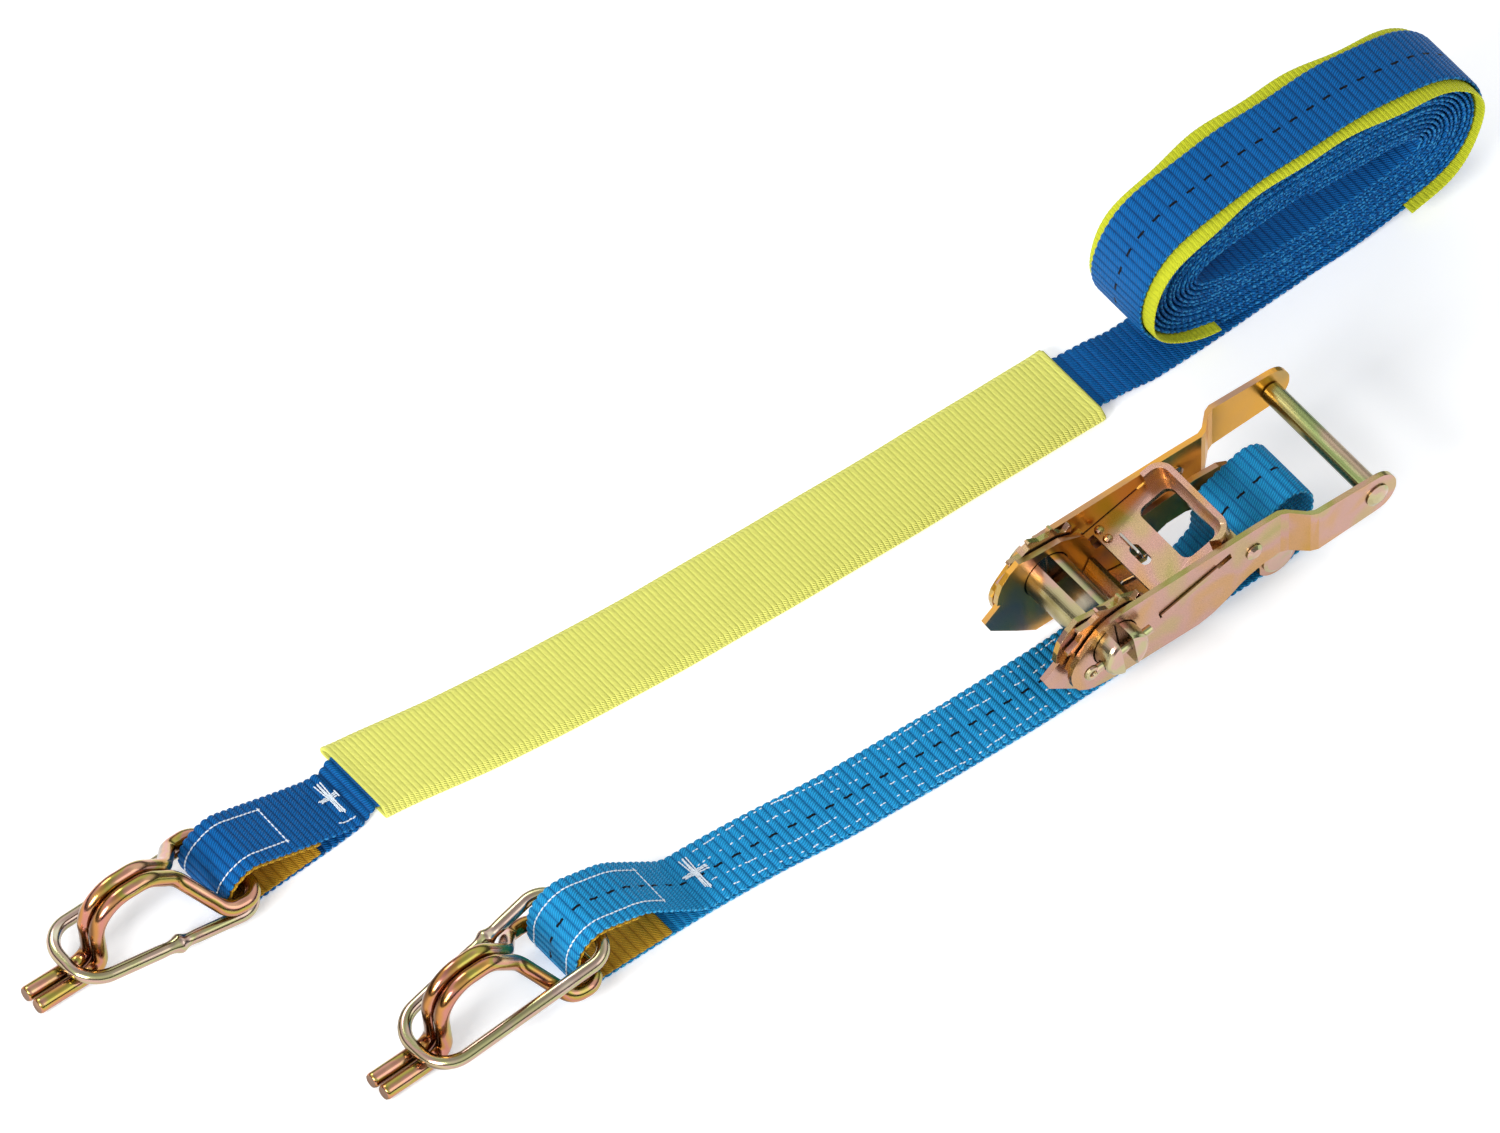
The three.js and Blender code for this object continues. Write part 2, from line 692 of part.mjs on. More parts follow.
function roundedWindow(start, end, half, corner) {
  const path = new THREE.Path();
  path.absarc(end - corner, half - corner, corner, 0, Math.PI / 2, false);
  path.absarc(start + corner, half - corner, corner, Math.PI / 2, Math.PI, false);
  path.absarc(start + corner, -half + corner, corner, Math.PI, Math.PI * 1.5, false);
  path.absarc(end - corner, -half + corner, corner, Math.PI * 1.5, Math.PI * 2, false);
  return path;
}

const cornerGap = 0.01;

function pawlPlate() {
  const ear = armOut + pawlEarReach;
  const half = [
    [handlePawlTip, prongOut], [handlePawlTip, prongIn], [pawlCutEdge, prongIn],
  ];
  const outer = [
    [pawlPlateEnd, pawlBodyHalf], [pawlEarEnd, pawlBodyHalf], [pawlEarEnd, ear], [pawlEarStart, ear],
    [pawlEarStart, prongOut],
  ];
  const up = [...outer, ...half];
  const down = up.slice().reverse().map(([x, y]) => [x, -y]);
  const shape = shapeFrom([...up, ...down]);
  shape.holes.push(roundedWindow(windowStart, windowEnd, windowHalf, windowCorner));
  const near = springHoleX - springHoleWidth / 2;
  shape.holes.push(roundedWindow(near, near + springHoleWidth, springHoleLength / 2, springHoleWidth / 2 - cornerGap));
  const plate = new THREE.ExtrudeGeometry(shape, { depth: plateThickness, bevelEnabled: false, curveSegments: 6 });
  plate.translate(0, 0, -plateThickness / 2);
  return plate;
}

function fingerRim() {
  const outer = pawlPlateEnd;
  const inner = pawlPlateEnd - plateThickness;
  const start = outer - rimReturn;
  const halfOut = pawlBodyHalf;
  const halfIn = pawlBodyHalf - plateThickness;
  const shape = new THREE.Shape();
  shape.moveTo(start, -halfOut);
  shape.absarc(outer - rimCorner, -halfOut + rimCorner, rimCorner, -Math.PI / 2, 0, false);
  shape.absarc(outer - rimCorner, halfOut - rimCorner, rimCorner, 0, Math.PI / 2, false);
  shape.lineTo(start, halfOut);
  shape.lineTo(start, halfIn);
  shape.absarc(outer - rimCorner, halfOut - rimCorner, inner - (outer - rimCorner), Math.PI / 2, 0, true);
  shape.absarc(outer - rimCorner, -halfOut + rimCorner, inner - (outer - rimCorner), 0, -Math.PI / 2, true);
  shape.lineTo(start, -halfIn);
  const rim = new THREE.ExtrudeGeometry(shape, { depth: rimHeight + plateThickness / 2, bevelEnabled: false, curveSegments: 6 });
  return rim;
}

// The tips are bevelled on their upper side, so that the teeth lift them as they pass.
const tipWidth = 1;
const tipBevel = 1.4;

function tipBevelTool(side) {
  const shape = shapeFrom([
    [handlePawlTip - overrun, plateThickness / 2 + overrun],
    [handlePawlTip - overrun, -plateThickness / 2 + tipWidth - overrun * (plateThickness - tipWidth) / tipBevel],
    [handlePawlTip, -plateThickness / 2 + tipWidth],
    [handlePawlTip + tipBevel, plateThickness / 2],
    [handlePawlTip + tipBevel, plateThickness / 2 + overrun],
  ]);
  const low = side > 0 ? prongIn - overrun : -prongOut - overrun;
  return sidePlate(shape, low, low + wheelThickness + 2 * overrun);
}

function handlePawl() {
  const bosses = pawlBossPlaces.map((place) => {
    const boss = new THREE.SphereGeometry(pawlBossRadius, 14, 10);
    boss.scale(1, 1, (pawlBossHeight + plateThickness / 2) / pawlBossRadius);
    boss.translate(pawlBossX, place, 0);
    return cutAway(boss, [new THREE.BoxGeometry(bossCut, bossCut, bossCut).translate(0, 0, -bossCut / 2)
      .translate(pawlBossX, place, 0)]);
  });
  const body = fuse([pawlPlate(), fingerRim(), ...bosses]);
  return intoPawlPlane(cutAway(body, [tipBevelTool(1), tipBevelTool(-1)]), handlePawlSlope, handlePawlOffset);
}

// Spring wire of the handle pawl: it lies across the plate, dips through the long hole and runs back under it.
const handleWire = 1.1;
const handleWireReach = 9.8;
const handleWireTail = 7;

function handlePawlSpring() {
  const above = plateThickness / 2 + clearance / 2 + handleWire / 2;
  const corners = [
    { point: new THREE.Vector3(springHoleX, handleWireReach, above) },
    { point: new THREE.Vector3(springHoleX, 0, above), radius: handleWire },
    { point: new THREE.Vector3(springHoleX, 0, -above), radius: handleWire },
    { point: new THREE.Vector3(springHoleX + handleWireTail, 0, -above) },
  ];
  const wire = bentRod(roundedPath(corners, Math.PI / 6), handleWire / 2, 8);
  return intoPawlPlane(wire, handlePawlSlope, handlePawlOffset);
}

[['left', -1], ['right', 1]].forEach(([name, side]) => {
  addPiece(ratchet, `frame_plate_${name}`, framePlate(side), yellowZinc);
  addPiece(ratchet, `ratchet_wheel_${name}`, wheel(side), yellowZinc);
  addPiece(ratchet, `handle_arm_${name}`, handleArm(side), yellowZinc);
  addPiece(ratchet, `stop_stud_${name}`, stopStud(side), paleZinc);
});
addPiece(ratchet, 'split_pin', splitPin(), paleZinc);
addPiece(ratchet, 'spool_half_rear', spoolHalf(1), paleZinc);
addPiece(ratchet, 'spool_half_front', spoolHalf(-1), paleZinc);
addPiece(ratchet, 'frame_bolt', frameBolt(), paleZinc);
addPiece(ratchet, 'frame_web', frameWeb(), yellowZinc);
addPiece(ratchet, 'frame_pawl', framePawl(), yellowZinc);
addPiece(ratchet, 'frame_pawl_spring', framePawlSpring(), paleZinc);
addPiece(ratchet, 'grip_tube', gripTube(), yellowZinc);
addPiece(ratchet, 'grip_rivet', gripRivet(), paleZinc);
addPiece(ratchet, 'handle_pawl', handlePawl(), yellowZinc);
addPiece(ratchet, 'handle_pawl_spring', handlePawlSpring(), paleZinc);

// Hooks: one rod bent double, its closed end in the webbing eye and its two tips turned down side by side.
// Rows are place along the hook, half spacing, height above the closed end or the floor, and bend radius.
const legGap = 0.3;
const hookBend = 6.5;
const archBendShare = 1.85;
const legSpacing = (hookRod + legGap) / 2;
const rodSides = 10;
const arcStep = Math.PI / 10;

function hookCorners(eyeHeight) {
  const floor = hookRod / 2;
  const rows = [
    [1, legSpacing * 1.1, floor, 0],
    [0.673, legSpacing * 1.06, floor, hookBend * 0.9],
    [0.713, legSpacing, hookHeight, hookBend * archBendShare],
    [0.44, legSpacing, hookHeight - floor * 0.1, hookBend * 1.6],
    [0.3, legSpacing, eyeHeight + (hookHeight - eyeHeight) * 0.62, hookBend * 1.3],
    [0.155, hookWidth * 0.48, eyeHeight + floor * 0.3, hookBend],
    [0, hookWidth / 2, eyeHeight, hookBend],
  ];
  const one = rows.map(([along, half, z, radius]) => ({ point: new THREE.Vector3(-along * hookLength, half, z), radius }));
  const two = one.slice().reverse().map(({ point, radius }) => ({ point: new THREE.Vector3(point.x, -point.y, point.z), radius }));
  return [...one, ...two];
}

function hook(eyeHeight) {
  return bentRod(roundedPath(hookCorners(eyeHeight), arcStep), hookRod / 2, rodSides);
}

// Keepers: closed wire loops that lie round the hook and stop it from slipping off.
function keeper(eyeHeight, outerHeight, length) {
  const corner = (along, half, z, radius) => ({ point: new THREE.Vector3(-along, half, z), radius });
  const corners = [
    corner(0, -keeperEyeWidth / 2, eyeHeight, keeperBend),
    corner(length, -keeperOuterWidth / 2, outerHeight, keeperNoseBend),
    corner(length, keeperOuterWidth / 2, outerHeight, keeperNoseBend),
    corner(0, keeperEyeWidth / 2, eyeHeight, keeperBend),
  ];
  return bentRod(roundedPath(corners, arcStep, true), keeperRod / 2, rodSides, true);
}

const keeperBend = 8;
const keeperNoseBend = 10.6;
const eyeFloor = webbingThickness + clearance + padThickness + clearance;
const longKeeperZ = eyeFloor + keeperRod / 2;
const longHookZ = longKeeperZ + keeperRod / 2 + clearance + hookRod / 2;
const shortHookZ = 7.8;
const shortKeeperZ = 20.4;
const keeperRest = hookRod + clearance + keeperRod / 2;
const noseInside = webbingThickness + clearance + padThickness;
const hookNoseInset = 5;
const longHookPlay = 3.7;
const longHookX = longEyeX + noseInside + hookNoseInset + longHookPlay;
const shortHookX = shortEyeX + noseInside + hookNoseInset;
const longLaneStart = 3.2;
const shortLaneStart = -88.5;

function placeEnd(name, geometry, x, y, turn, material) {
  const piece = addPiece(strap, name, geometry, material);
  piece.position.set(x, y, 0);
  piece.rotation.z = turn;
}

const longHookTurn = THREE.MathUtils.degToRad(0);
const longKeeperTurn = THREE.MathUtils.degToRad(-2.5);
const shortHookTurn = THREE.MathUtils.degToRad(2);
const shortKeeperTurn = THREE.MathUtils.degToRad(1.8);
const longKeeperPlay = 1.2;
const longKeeperX = longHookX + longKeeperPlay;
const shortKeeperPlay = 4;
const shortKeeperX = shortHookX + shortKeeperPlay;
const keeperExtra = 1.5;

placeEnd('hook_long', hook(longHookZ), longHookX, longLaneStart, longHookTurn, yellowZinc);
placeEnd('keeper_long', keeper(longKeeperZ, keeperRest, keeperLength), longKeeperX, longLaneStart, longKeeperTurn, yellowZinc);
placeEnd('hook_short', hook(shortHookZ), shortHookX, shortLaneStart, shortHookTurn, yellowZinc);
placeEnd('keeper_short', keeper(shortKeeperZ, keeperRest, keeperLength + keeperExtra), shortKeeperX, shortLaneStart,
  shortKeeperTurn, yellowZinc);

// Straps. Lanes are the straps' middle lines on the floor, chosen by hand as they lie.
const longLane = [[-212, 3.2], [-161, 6.5], [-152, 9], [-108, 2.6], [-23, -3.7], [125, -7.4], [150, -9], [212, -7]];
const shortLane = [[-150, -88.5], [-97, -88.4], [-69, -89.8], [-35, -93], [46, -94.9], [100, -92.4], [126, -92]];
const laneStep = 14;
const webbingArc = Math.PI / 9;
const floorLayer = webbingThickness / 2;
const topLayer = webbingThickness * 1.5 + layerGap;
const flat = (x, z, radius) => ({ point: new THREE.Vector3(x, 0, z), radius });
const foldRadius = 20;

// Long strap: folded back and sewn round its eye, then single along the floor, through the sleeve, to the roll.
const longSeamEnd = -160;
const longSeamMeet = -164;
const seamRadius = 14;
const longEyeTop = 24.6;
const longNoseRadius = 7.6;
const longNoseTopRadius = 10.4;
const sleeveBed = sleeveWall + clearance + webbingThickness / 2;
const bedRamp = 8;
const sleeveEnd = sleeveX + sleeveLength;
const bedMargin = 2;
const bedEnd = sleeveEnd + sleeveTravel + bedMargin;

function longEyeCorners(farTop, farBottom) {
  const nose = longEyeX + floorLayer;
  return [
    farTop, flat(longSeamMeet, topLayer, seamRadius), flat(nose, longEyeTop, longNoseTopRadius),
    flat(nose, floorLayer, longNoseRadius), farBottom,
  ];
}

const longRunCorners = [
  ...longEyeCorners(flat(longSeamEnd, topLayer), flat(sleeveX - bedRamp, floorLayer, foldRadius)),
  flat(sleeveX - clearance, sleeveBed, foldRadius), flat(bedEnd, sleeveBed, foldRadius),
  flat(bedEnd + bedRamp, floorLayer, foldRadius), flat(rollX - clearance, floorLayer),
];
const longPlace = (x) => laneAt(longLane, x);
addPiece(strap, 'strap_long_run',
  ribbon(cutLong(roundedPath(longRunCorners, webbingArc), laneStep), webbingThickness, webbingWidth, longPlace), blueWebbing);

// Eye linings lie inside the webbing eyes, between the webbing and the rods.
const padInset = webbingThickness / 2 + clearance + padThickness / 2;
const longPadEnd = -178;

function eyePad(corners, endTop, endBottom, place, name) {
  const shifted = offsetCorners(corners, padInset);
  const topEnd = clipTo(shifted[1].point, shifted[2].point, endTop);
  const bottomEnd = new THREE.Vector3(endBottom, 0, shifted[4].point.z);
  const path = [{ point: topEnd }, shifted[2], shifted[3], { point: bottomEnd }];
  addPiece(strap, name,
    ribbon(cutLong(roundedPath(path, webbingArc), laneStep), padThickness, webbingWidth, place), goldenPad);
}

function clipTo(a, b, x) {
  return a.clone().lerp(b, (x - a.x) / (b.x - a.x));
}

eyePad(longEyeCorners(flat(longSeamEnd, topLayer), flat(longSeamEnd, floorLayer)), longPadEnd, longPadEnd, longPlace,
  'eye_pad_long');

// Short strap: one doubled band, with the tall eye at the hook end and the loop round the ratchet's bolt.
const shortSeamMeet = -97;
const shortShoulderX = -121;
const shortShoulderZ = 20.8;
const shortEyeTop = 29.6;
const shortNoseTopRadius = 10.5;
const shortNoseRadius = 9;
const shoulderRadius = 26;
const shortPadEnd = -111;
const shortPadTopEnd = -124;
const shortFootRadius = 12;

function shortEyeCorners(farTop, farBottom) {
  const nose = shortEyeX + floorLayer;
  return [
    farTop, flat(shortShoulderX, shortShoulderZ, shoulderRadius), flat(nose, shortEyeTop, shortNoseTopRadius),
    flat(nose, floorLayer, shortNoseRadius), farBottom,
  ];
}

const loopReachShare = 0.5815;
const boltFront = boltReach + boltRadius;
const loopRight = boltFront + loopReachShare * (gripReach - gripTubeRadius - boltFront);
const loopLeftInset = 12.5;
const loopLeft = boltReach - loopLeftInset;
const loopShoulderInset = 9.5;
const loopShoulder = boltReach - loopShoulderInset;
const loopCrest = 7.6;
const loopShoulderDrop = 3;
const loopRadius = 9;
const loopFootInset = 23;
const loopFoot = boltReach - loopFootInset;
const loopLowInset = 1.5;
const loopLean = 0.8;
const loopLowShare = 0.8;
const shortRing = [
  flat(ratchetX + loopFoot, topLayer, foldRadius / 2),
  flat(shortSeamMeet, topLayer, shortFootRadius),
  ...shortEyeCorners(null, null).slice(1, 4),
  flat(ratchetX + loopRight - loopLowInset, floorLayer, loopRadius),
  flat(ratchetX + loopRight + loopLean, ratchetZ + loopCrest, loopRadius),
  flat(ratchetX + loopShoulder, ratchetZ - loopShoulderDrop, loopRadius / 2),
  flat(ratchetX + loopLeft, ratchetZ - loopShoulderDrop - loopRadius, loopRadius / 2),
  flat(ratchetX + loopLeft, topLayer + loopRadius * loopLowShare, loopRadius / 2),
];
const shortPlace = (x) => laneAt(shortLane, x);
addPiece(strap, 'strap_short',
  ribbon(cutLong(roundedPath(shortRing, webbingArc, true), laneStep, true), webbingThickness, webbingWidth, shortPlace, true),
  lightBlueWebbing);
eyePad(shortEyeCorners(flat(shortSeamMeet, topLayer), flat(shortSeamMeet, floorLayer)), shortPadTopEnd, shortPadEnd, shortPlace,
  'eye_pad_short');

// Roll: the free end of the long strap wound on edge round a flat oval gap, from the outside inwards.
const wearPadExtra = padThickness + 1.5 * clearance;
const rollStations = 30;
const rollCoreLength = rollLength / 2 - webbingThickness / 2 - wearPadExtra - rollTurns * rollPitch;
const rollCoreHeight = rollHeight / 2 - webbingThickness / 2 - wearPadExtra - rollTurns * rollPitch;
const rollZ = rollHeight / 2;

const wearPadFadeFrom = 0.95;
const wearPadFadeTo = 1.04;

function rollPoint(turn, inset) {
  const angle = -Math.PI / 2 + 2 * Math.PI * turn;
  const nx = Math.cos(angle);
  const nz = Math.sin(angle);
  const scale = Math.hypot(rollCoreLength * nx, rollCoreHeight * nz);
  const extra = wearPadExtra * (1 - THREE.MathUtils.smoothstep(turn, wearPadFadeFrom, wearPadFadeTo));
  const out = (rollTurns - turn) * rollPitch + extra - inset;
  return new THREE.Vector3(
    rollX + (rollCoreLength ** 2 * nx) / scale + out * nx, 0, rollZ + (rollCoreHeight ** 2 * nz) / scale + out * nz,
  );
}

function rollPath(from, to, inset) {
  const steps = Math.round((to - from) * rollStations);
  return Array.from({ length: steps + 1 }, (_, i) => rollPoint(from + ((to - from) * i) / steps, inset));
}

const rollPlace = () => longLane[longLane.length - 1][1];
const rollLine = rollPath(0, rollTurns, 0);
addPiece(strap, 'strap_long_coil', ribbon(rollLine, webbingThickness, webbingWidth, rollPlace), blueWebbing);

// Wear pad inside the outermost turn of the roll, a little wider than the webbing.
const wearPadWidth = 33;
const wearPadFrom = 1 / rollStations;
const wearPadTo = 1 - 1 / rollStations;
addPiece(strap, 'coil_wear_pad', ribbon(rollPath(wearPadFrom, wearPadTo, padInset), padThickness, wearPadWidth, rollPlace),
  yellowSleeve);

// Sleeve: a flat woven tube that slides on the long strap.
const sleeveHeight = 2 * sleeveWall + 2 * clearance + webbingThickness;
const sleeveRings = 20;
const sleeveRoundSteps = 4;

function sleeveSection(x, halfWidth, halfHeight) {
  const ring = [];
  [1, -1].forEach((side) => {
    for (let i = 0; i <= sleeveRoundSteps; i += 1) {
      const angle = -Math.PI / 2 + (Math.PI * i) / sleeveRoundSteps;
      const y = side * (halfWidth - halfHeight + halfHeight * Math.cos(angle));
      ring.push(new THREE.Vector3(x, longPlace(x) + y, sleeveHeight / 2 + side * halfHeight * Math.sin(angle)));
    }
  });
  return ring;
}

const sleevePlaces = Array.from({ length: sleeveRings + 1 }, (_, i) => sleeveX + (sleeveLength * i) / sleeveRings);
addPiece(strap, 'sleeve', hollowLoft(
  sleevePlaces.map((x) => sleeveSection(x, sleeveWidth / 2, sleeveHeight / 2)),
  sleevePlaces.map((x) => sleeveSection(x, sleeveWidth / 2 - sleeveWall, sleeveHeight / 2 - sleeveWall)),
), yellowSleeve);

// The origin is the middle of the layout's box on the floor.
const box = new THREE.Box3().setFromObject(strap, true);
const middle = box.getCenter(new THREE.Vector3());
strap.position.set(-middle.x, -middle.y, -box.min.z);

// Least gap between the turns of the roll, measured between their middle lines.
let leastGap = Infinity;
rollLine.forEach((p, i) => {
  rollLine.slice(i + Math.floor(rollStations / 2)).forEach((q) => {
    leastGap = Math.min(leastGap, p.distanceTo(q) - webbingThickness);
  });
});
console.log('least gap between turns', leastGap.toFixed(2));
console.log('box', box.min.toArray().map((v) => v.toFixed(2)), box.max.toArray().map((v) => v.toFixed(2)));

export default strap;
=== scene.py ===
import math

import bpy
import numpy as np
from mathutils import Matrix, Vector


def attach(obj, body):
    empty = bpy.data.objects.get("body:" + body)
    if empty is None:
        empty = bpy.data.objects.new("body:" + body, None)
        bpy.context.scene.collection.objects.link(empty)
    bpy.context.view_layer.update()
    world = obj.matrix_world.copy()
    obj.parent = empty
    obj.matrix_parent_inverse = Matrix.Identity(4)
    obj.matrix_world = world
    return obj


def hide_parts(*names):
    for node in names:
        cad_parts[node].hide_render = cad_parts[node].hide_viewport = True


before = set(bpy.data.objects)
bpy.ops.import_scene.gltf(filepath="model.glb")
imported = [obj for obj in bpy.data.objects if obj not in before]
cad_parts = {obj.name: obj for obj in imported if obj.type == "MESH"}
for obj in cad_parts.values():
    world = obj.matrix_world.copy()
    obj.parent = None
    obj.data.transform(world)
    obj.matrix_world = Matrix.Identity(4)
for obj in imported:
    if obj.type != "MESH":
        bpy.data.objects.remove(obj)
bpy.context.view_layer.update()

# Table: a pale matt table top with a plain studio round it.
# The long lens stands far off, at the height and side of the photograph.
mm = 0.001
photo_width = 1500
photo_pixels_per_mm = 3.16
camera_azimuth = math.radians(-38.5)
camera_elevation = math.radians(51.9)
camera_sensor = 36
camera_lens = 1000
layout_shift = Vector((1.63, 47.57, 0)) * mm
table_size = 9.0
table_drop = 0.2 * mm


def linear(colour):
    channels = [int(colour[place:place + 2], 16) / 255 for place in (1, 3, 5)]
    low = [c / 12.92 for c in channels]
    high = [((c + 0.055) / 1.055) ** 2.4 for c in channels]
    return tuple(h if c > 0.04045 else d for c, d, h in zip(channels, low, high)) + (1,)


def add_node(tree, kind, settings=None, inputs=None):
    node = tree.nodes.new(kind)
    for name, value in (settings or {}).items():
        setattr(node, name, value)
    for name, value in (inputs or {}).items():
        if isinstance(value, bpy.types.NodeSocket):
            tree.links.new(value, node.inputs[name])
        else:
            node.inputs[name].default_value = value
    return node


def new_material(name):
    material = bpy.data.materials.new(name)
    material.use_nodes = True
    return material, material.node_tree, material.node_tree.nodes["Principled BSDF"]


def put_in_scene(name, mesh, material):
    piece = bpy.data.objects.new(name, mesh)
    bpy.context.scene.collection.objects.link(piece)
    mesh.materials.append(material)
    return piece


table_paint, tree, shader = new_material("matt_white_table")
grain = add_node(tree, "ShaderNodeTexNoise", inputs={"Scale": 900.0, "Detail": 2.0})
lift = add_node(tree, "ShaderNodeBump", inputs={"Strength": 0.03, "Height": grain.outputs["Fac"]})
tree.links.new(lift.outputs["Normal"], shader.inputs["Normal"])
shader.inputs["Base Color"].default_value = linear("#FAFAFA")
shader.inputs["Roughness"].default_value = 0.95
shader.inputs["Specular IOR Level"].default_value = 0.0
shader.inputs["Emission Color"].default_value = linear("#FFFFFF")
# The table glows for every ray, so it also lights the object from below.
table_glow = 0.28
shader.inputs["Emission Strength"].default_value = table_glow
half = table_size / 2
table_corners = [(-half, -half, -table_drop), (half, -half, -table_drop),
                 (half, half, -table_drop), (-half, half, -table_drop)]
table_mesh = bpy.data.meshes.new("table_top")
table_mesh.from_pydata(table_corners, [], [(0, 1, 2, 3)])
table = put_in_scene("table_top", table_mesh, table_paint)

world = bpy.data.worlds.new("studio")
world.use_nodes = True
bpy.context.scene.world = world
tree = world.node_tree
path = add_node(tree, "ShaderNodeLightPath")
sky = add_node(tree, "ShaderNodeTexCoord")
height = add_node(tree, "ShaderNodeSeparateXYZ", inputs={0: sky.outputs["Generated"]}).outputs["Z"]
height = add_node(tree, "ShaderNodeMath", {"operation": "MULTIPLY_ADD"},
                  {0: height, 1: 0.5, 2: 0.5}).outputs[0]
# Metal alone mirrors this tent, dark at the horizon and bright above. The camera sees the plain backdrop.
tent = add_node(tree, "ShaderNodeValToRGB", inputs={"Fac": height})
tent_stops = [(0.0, "#7A7A7A"), (0.5, "#3A3A3A"), (0.62, "#5A5A5A"), (0.72, "#F0F0F0"), (0.86, "#FFFFFF"),
              (1.0, "#B4B4B4")]
room_strength = 0.62
tent_strength = 1.1
backdrop_strength = 1.0
while len(tent.color_ramp.elements) < len(tent_stops):
    tent.color_ramp.elements.new(0.5)
for element, (position, colour) in zip(tent.color_ramp.elements, tent_stops):
    element.position = position
    element.color = linear(colour)
room = add_node(tree, "ShaderNodeBackground", inputs={"Color": linear("#F2F4F7"), "Strength": room_strength})
mirrored = add_node(tree, "ShaderNodeBackground", inputs={"Color": tent.outputs["Color"], "Strength": tent_strength})
backdrop = add_node(tree, "ShaderNodeBackground", inputs={"Color": linear("#FFFFFF"), "Strength": backdrop_strength})
lit = add_node(tree, "ShaderNodeMixShader",
               inputs={0: path.outputs["Is Glossy Ray"], 1: room.outputs[0], 2: mirrored.outputs[0]})
both = add_node(tree, "ShaderNodeMixShader",
                inputs={0: path.outputs["Is Camera Ray"], 1: lit.outputs[0], 2: backdrop.outputs[0]})
tree.links.new(both.outputs[0], tree.nodes["World Output"].inputs["Surface"])


def add_softbox(name, place, size, power):
    light = bpy.data.lights.new(name, "AREA")
    light.shape = "SQUARE"
    light.size = size
    light.energy = power
    lamp = bpy.data.objects.new(name, light)
    bpy.context.scene.collection.objects.link(lamp)
    lamp.location = Vector(place)
    lamp.rotation_euler = (-Vector(place)).to_track_quat("-Z", "Y").to_euler()


add_softbox("softbox_left", (-1.8, -0.5, 1.0), 0.8, 38)
add_softbox("softbox_right", (0.9, -1.6, 1.3), 1.2, 5)
add_softbox("softbox_back", (-0.2, 1.6, 1.6), 0.8, 12)

camera = bpy.data.objects.new("camera", bpy.data.cameras.new("camera"))
bpy.context.scene.collection.objects.link(camera)
bpy.context.scene.camera = camera
camera.data.sensor_width = camera_sensor
camera.data.lens = camera_lens
view_back = Vector((
    math.sin(camera_azimuth) * math.cos(camera_elevation),
    -math.cos(camera_azimuth) * math.cos(camera_elevation),
    math.sin(camera_elevation),
))
frame_width = photo_width / photo_pixels_per_mm * mm
camera_distance = camera_lens / camera_sensor * frame_width
camera.location = layout_shift + view_back * camera_distance
camera.rotation_euler = (-view_back).to_track_quat("-Z", "Y").to_euler()
camera.data.clip_start = 0.1
camera.data.clip_end = 40
bpy.context.scene.view_settings.view_transform = "Standard"

# Pressed plates: frame cheeks, wheels, arms and pawls stamped from mild steel sheet.
# They are zinc plated and yellow passivated, which leaves a thin film of gold, rose and green.
plate_patch = 19 * mm
plate_brush = 0.25 * mm


def film_colour_and_painted_facing_light(name, stops, patch, roughness, painted_facing_share, grain_size):
    """Colours follow soft patches, as the bath left them, and the way a face points, which is painted light and shade:
    faces turned up and forwards take the upper, mostly paler stops, and faces turned away the lower, mostly darker
    ones.
    """
    patch_share = 0.95
    material, tree, shader = new_material(name)
    place = add_node(tree, "ShaderNodeTexCoord")
    patches = add_node(tree, "ShaderNodeTexNoise",
                       inputs={"Vector": place.outputs["Object"], "Scale": 1 / patch, "Detail": 1.5,
                               "Distortion": 0.3})
    # Painted light and shade: the value rises on faces turned towards (0.35, -0.45, 0.8), up and forwards, and falls on
    # faces turned away.
    lean = add_node(tree, "ShaderNodeVectorMath", {"operation": "DOT_PRODUCT"},
                    {0: place.outputs["Normal"], 1: (0.35, -0.45, 0.8)})
    lean = add_node(tree, "ShaderNodeMath", {"operation": "MULTIPLY_ADD"},
                    {0: lean.outputs["Value"], 1: painted_facing_share, 2: 0.5 - painted_facing_share / 2})
    spread = add_node(tree, "ShaderNodeMath", {"operation": "MULTIPLY_ADD"},
                      {0: patches.outputs["Fac"], 1: patch_share, 2: -patch_share / 2})
    film = add_node(tree, "ShaderNodeMath", {"operation": "ADD", "use_clamp": True},
                    {0: lean.outputs[0], 1: spread.outputs[0]})
    ramp = add_node(tree, "ShaderNodeValToRGB", inputs={"Fac": film.outputs[0]})
    ramp.color_ramp.interpolation = "EASE"
    while len(ramp.color_ramp.elements) < len(stops):
        ramp.color_ramp.elements.new(0.5)
    for element, (position, colour) in zip(ramp.color_ramp.elements, stops):
        element.position = position
        element.color = linear(colour)
    grain = add_node(tree, "ShaderNodeTexNoise",
                     inputs={"Vector": place.outputs["Object"], "Scale": 1 / grain_size, "Detail": 3.0})
    dull = add_node(tree, "ShaderNodeMapRange",
                    inputs={"Value": grain.outputs["Fac"], "To Min": roughness * 0.75, "To Max": roughness * 1.3})
    lift = add_node(tree, "ShaderNodeBump",
                    inputs={"Strength": 0.12, "Distance": 0.04 * mm, "Height": grain.outputs["Fac"]})
    tree.links.new(ramp.outputs["Color"], shader.inputs["Base Color"])
    tree.links.new(dull.outputs["Result"], shader.inputs["Roughness"])
    tree.links.new(lift.outputs["Normal"], shader.inputs["Normal"])
    shader.inputs["Metallic"].default_value = 1.0
    return material


plate_zinc = film_colour_and_painted_facing_light(
    "yellow_zinc_pressed_plate",
    [(0.0, "#8E6222"), (0.2, "#BC9046"), (0.36, "#BF9468"), (0.48, "#BD9486"), (0.6, "#B69C74"), (0.7, "#9E9856"),
     (0.85, "#A3A56C"), (1.0, "#C6C094")],
    plate_patch, 0.26, 0.45, plate_brush)


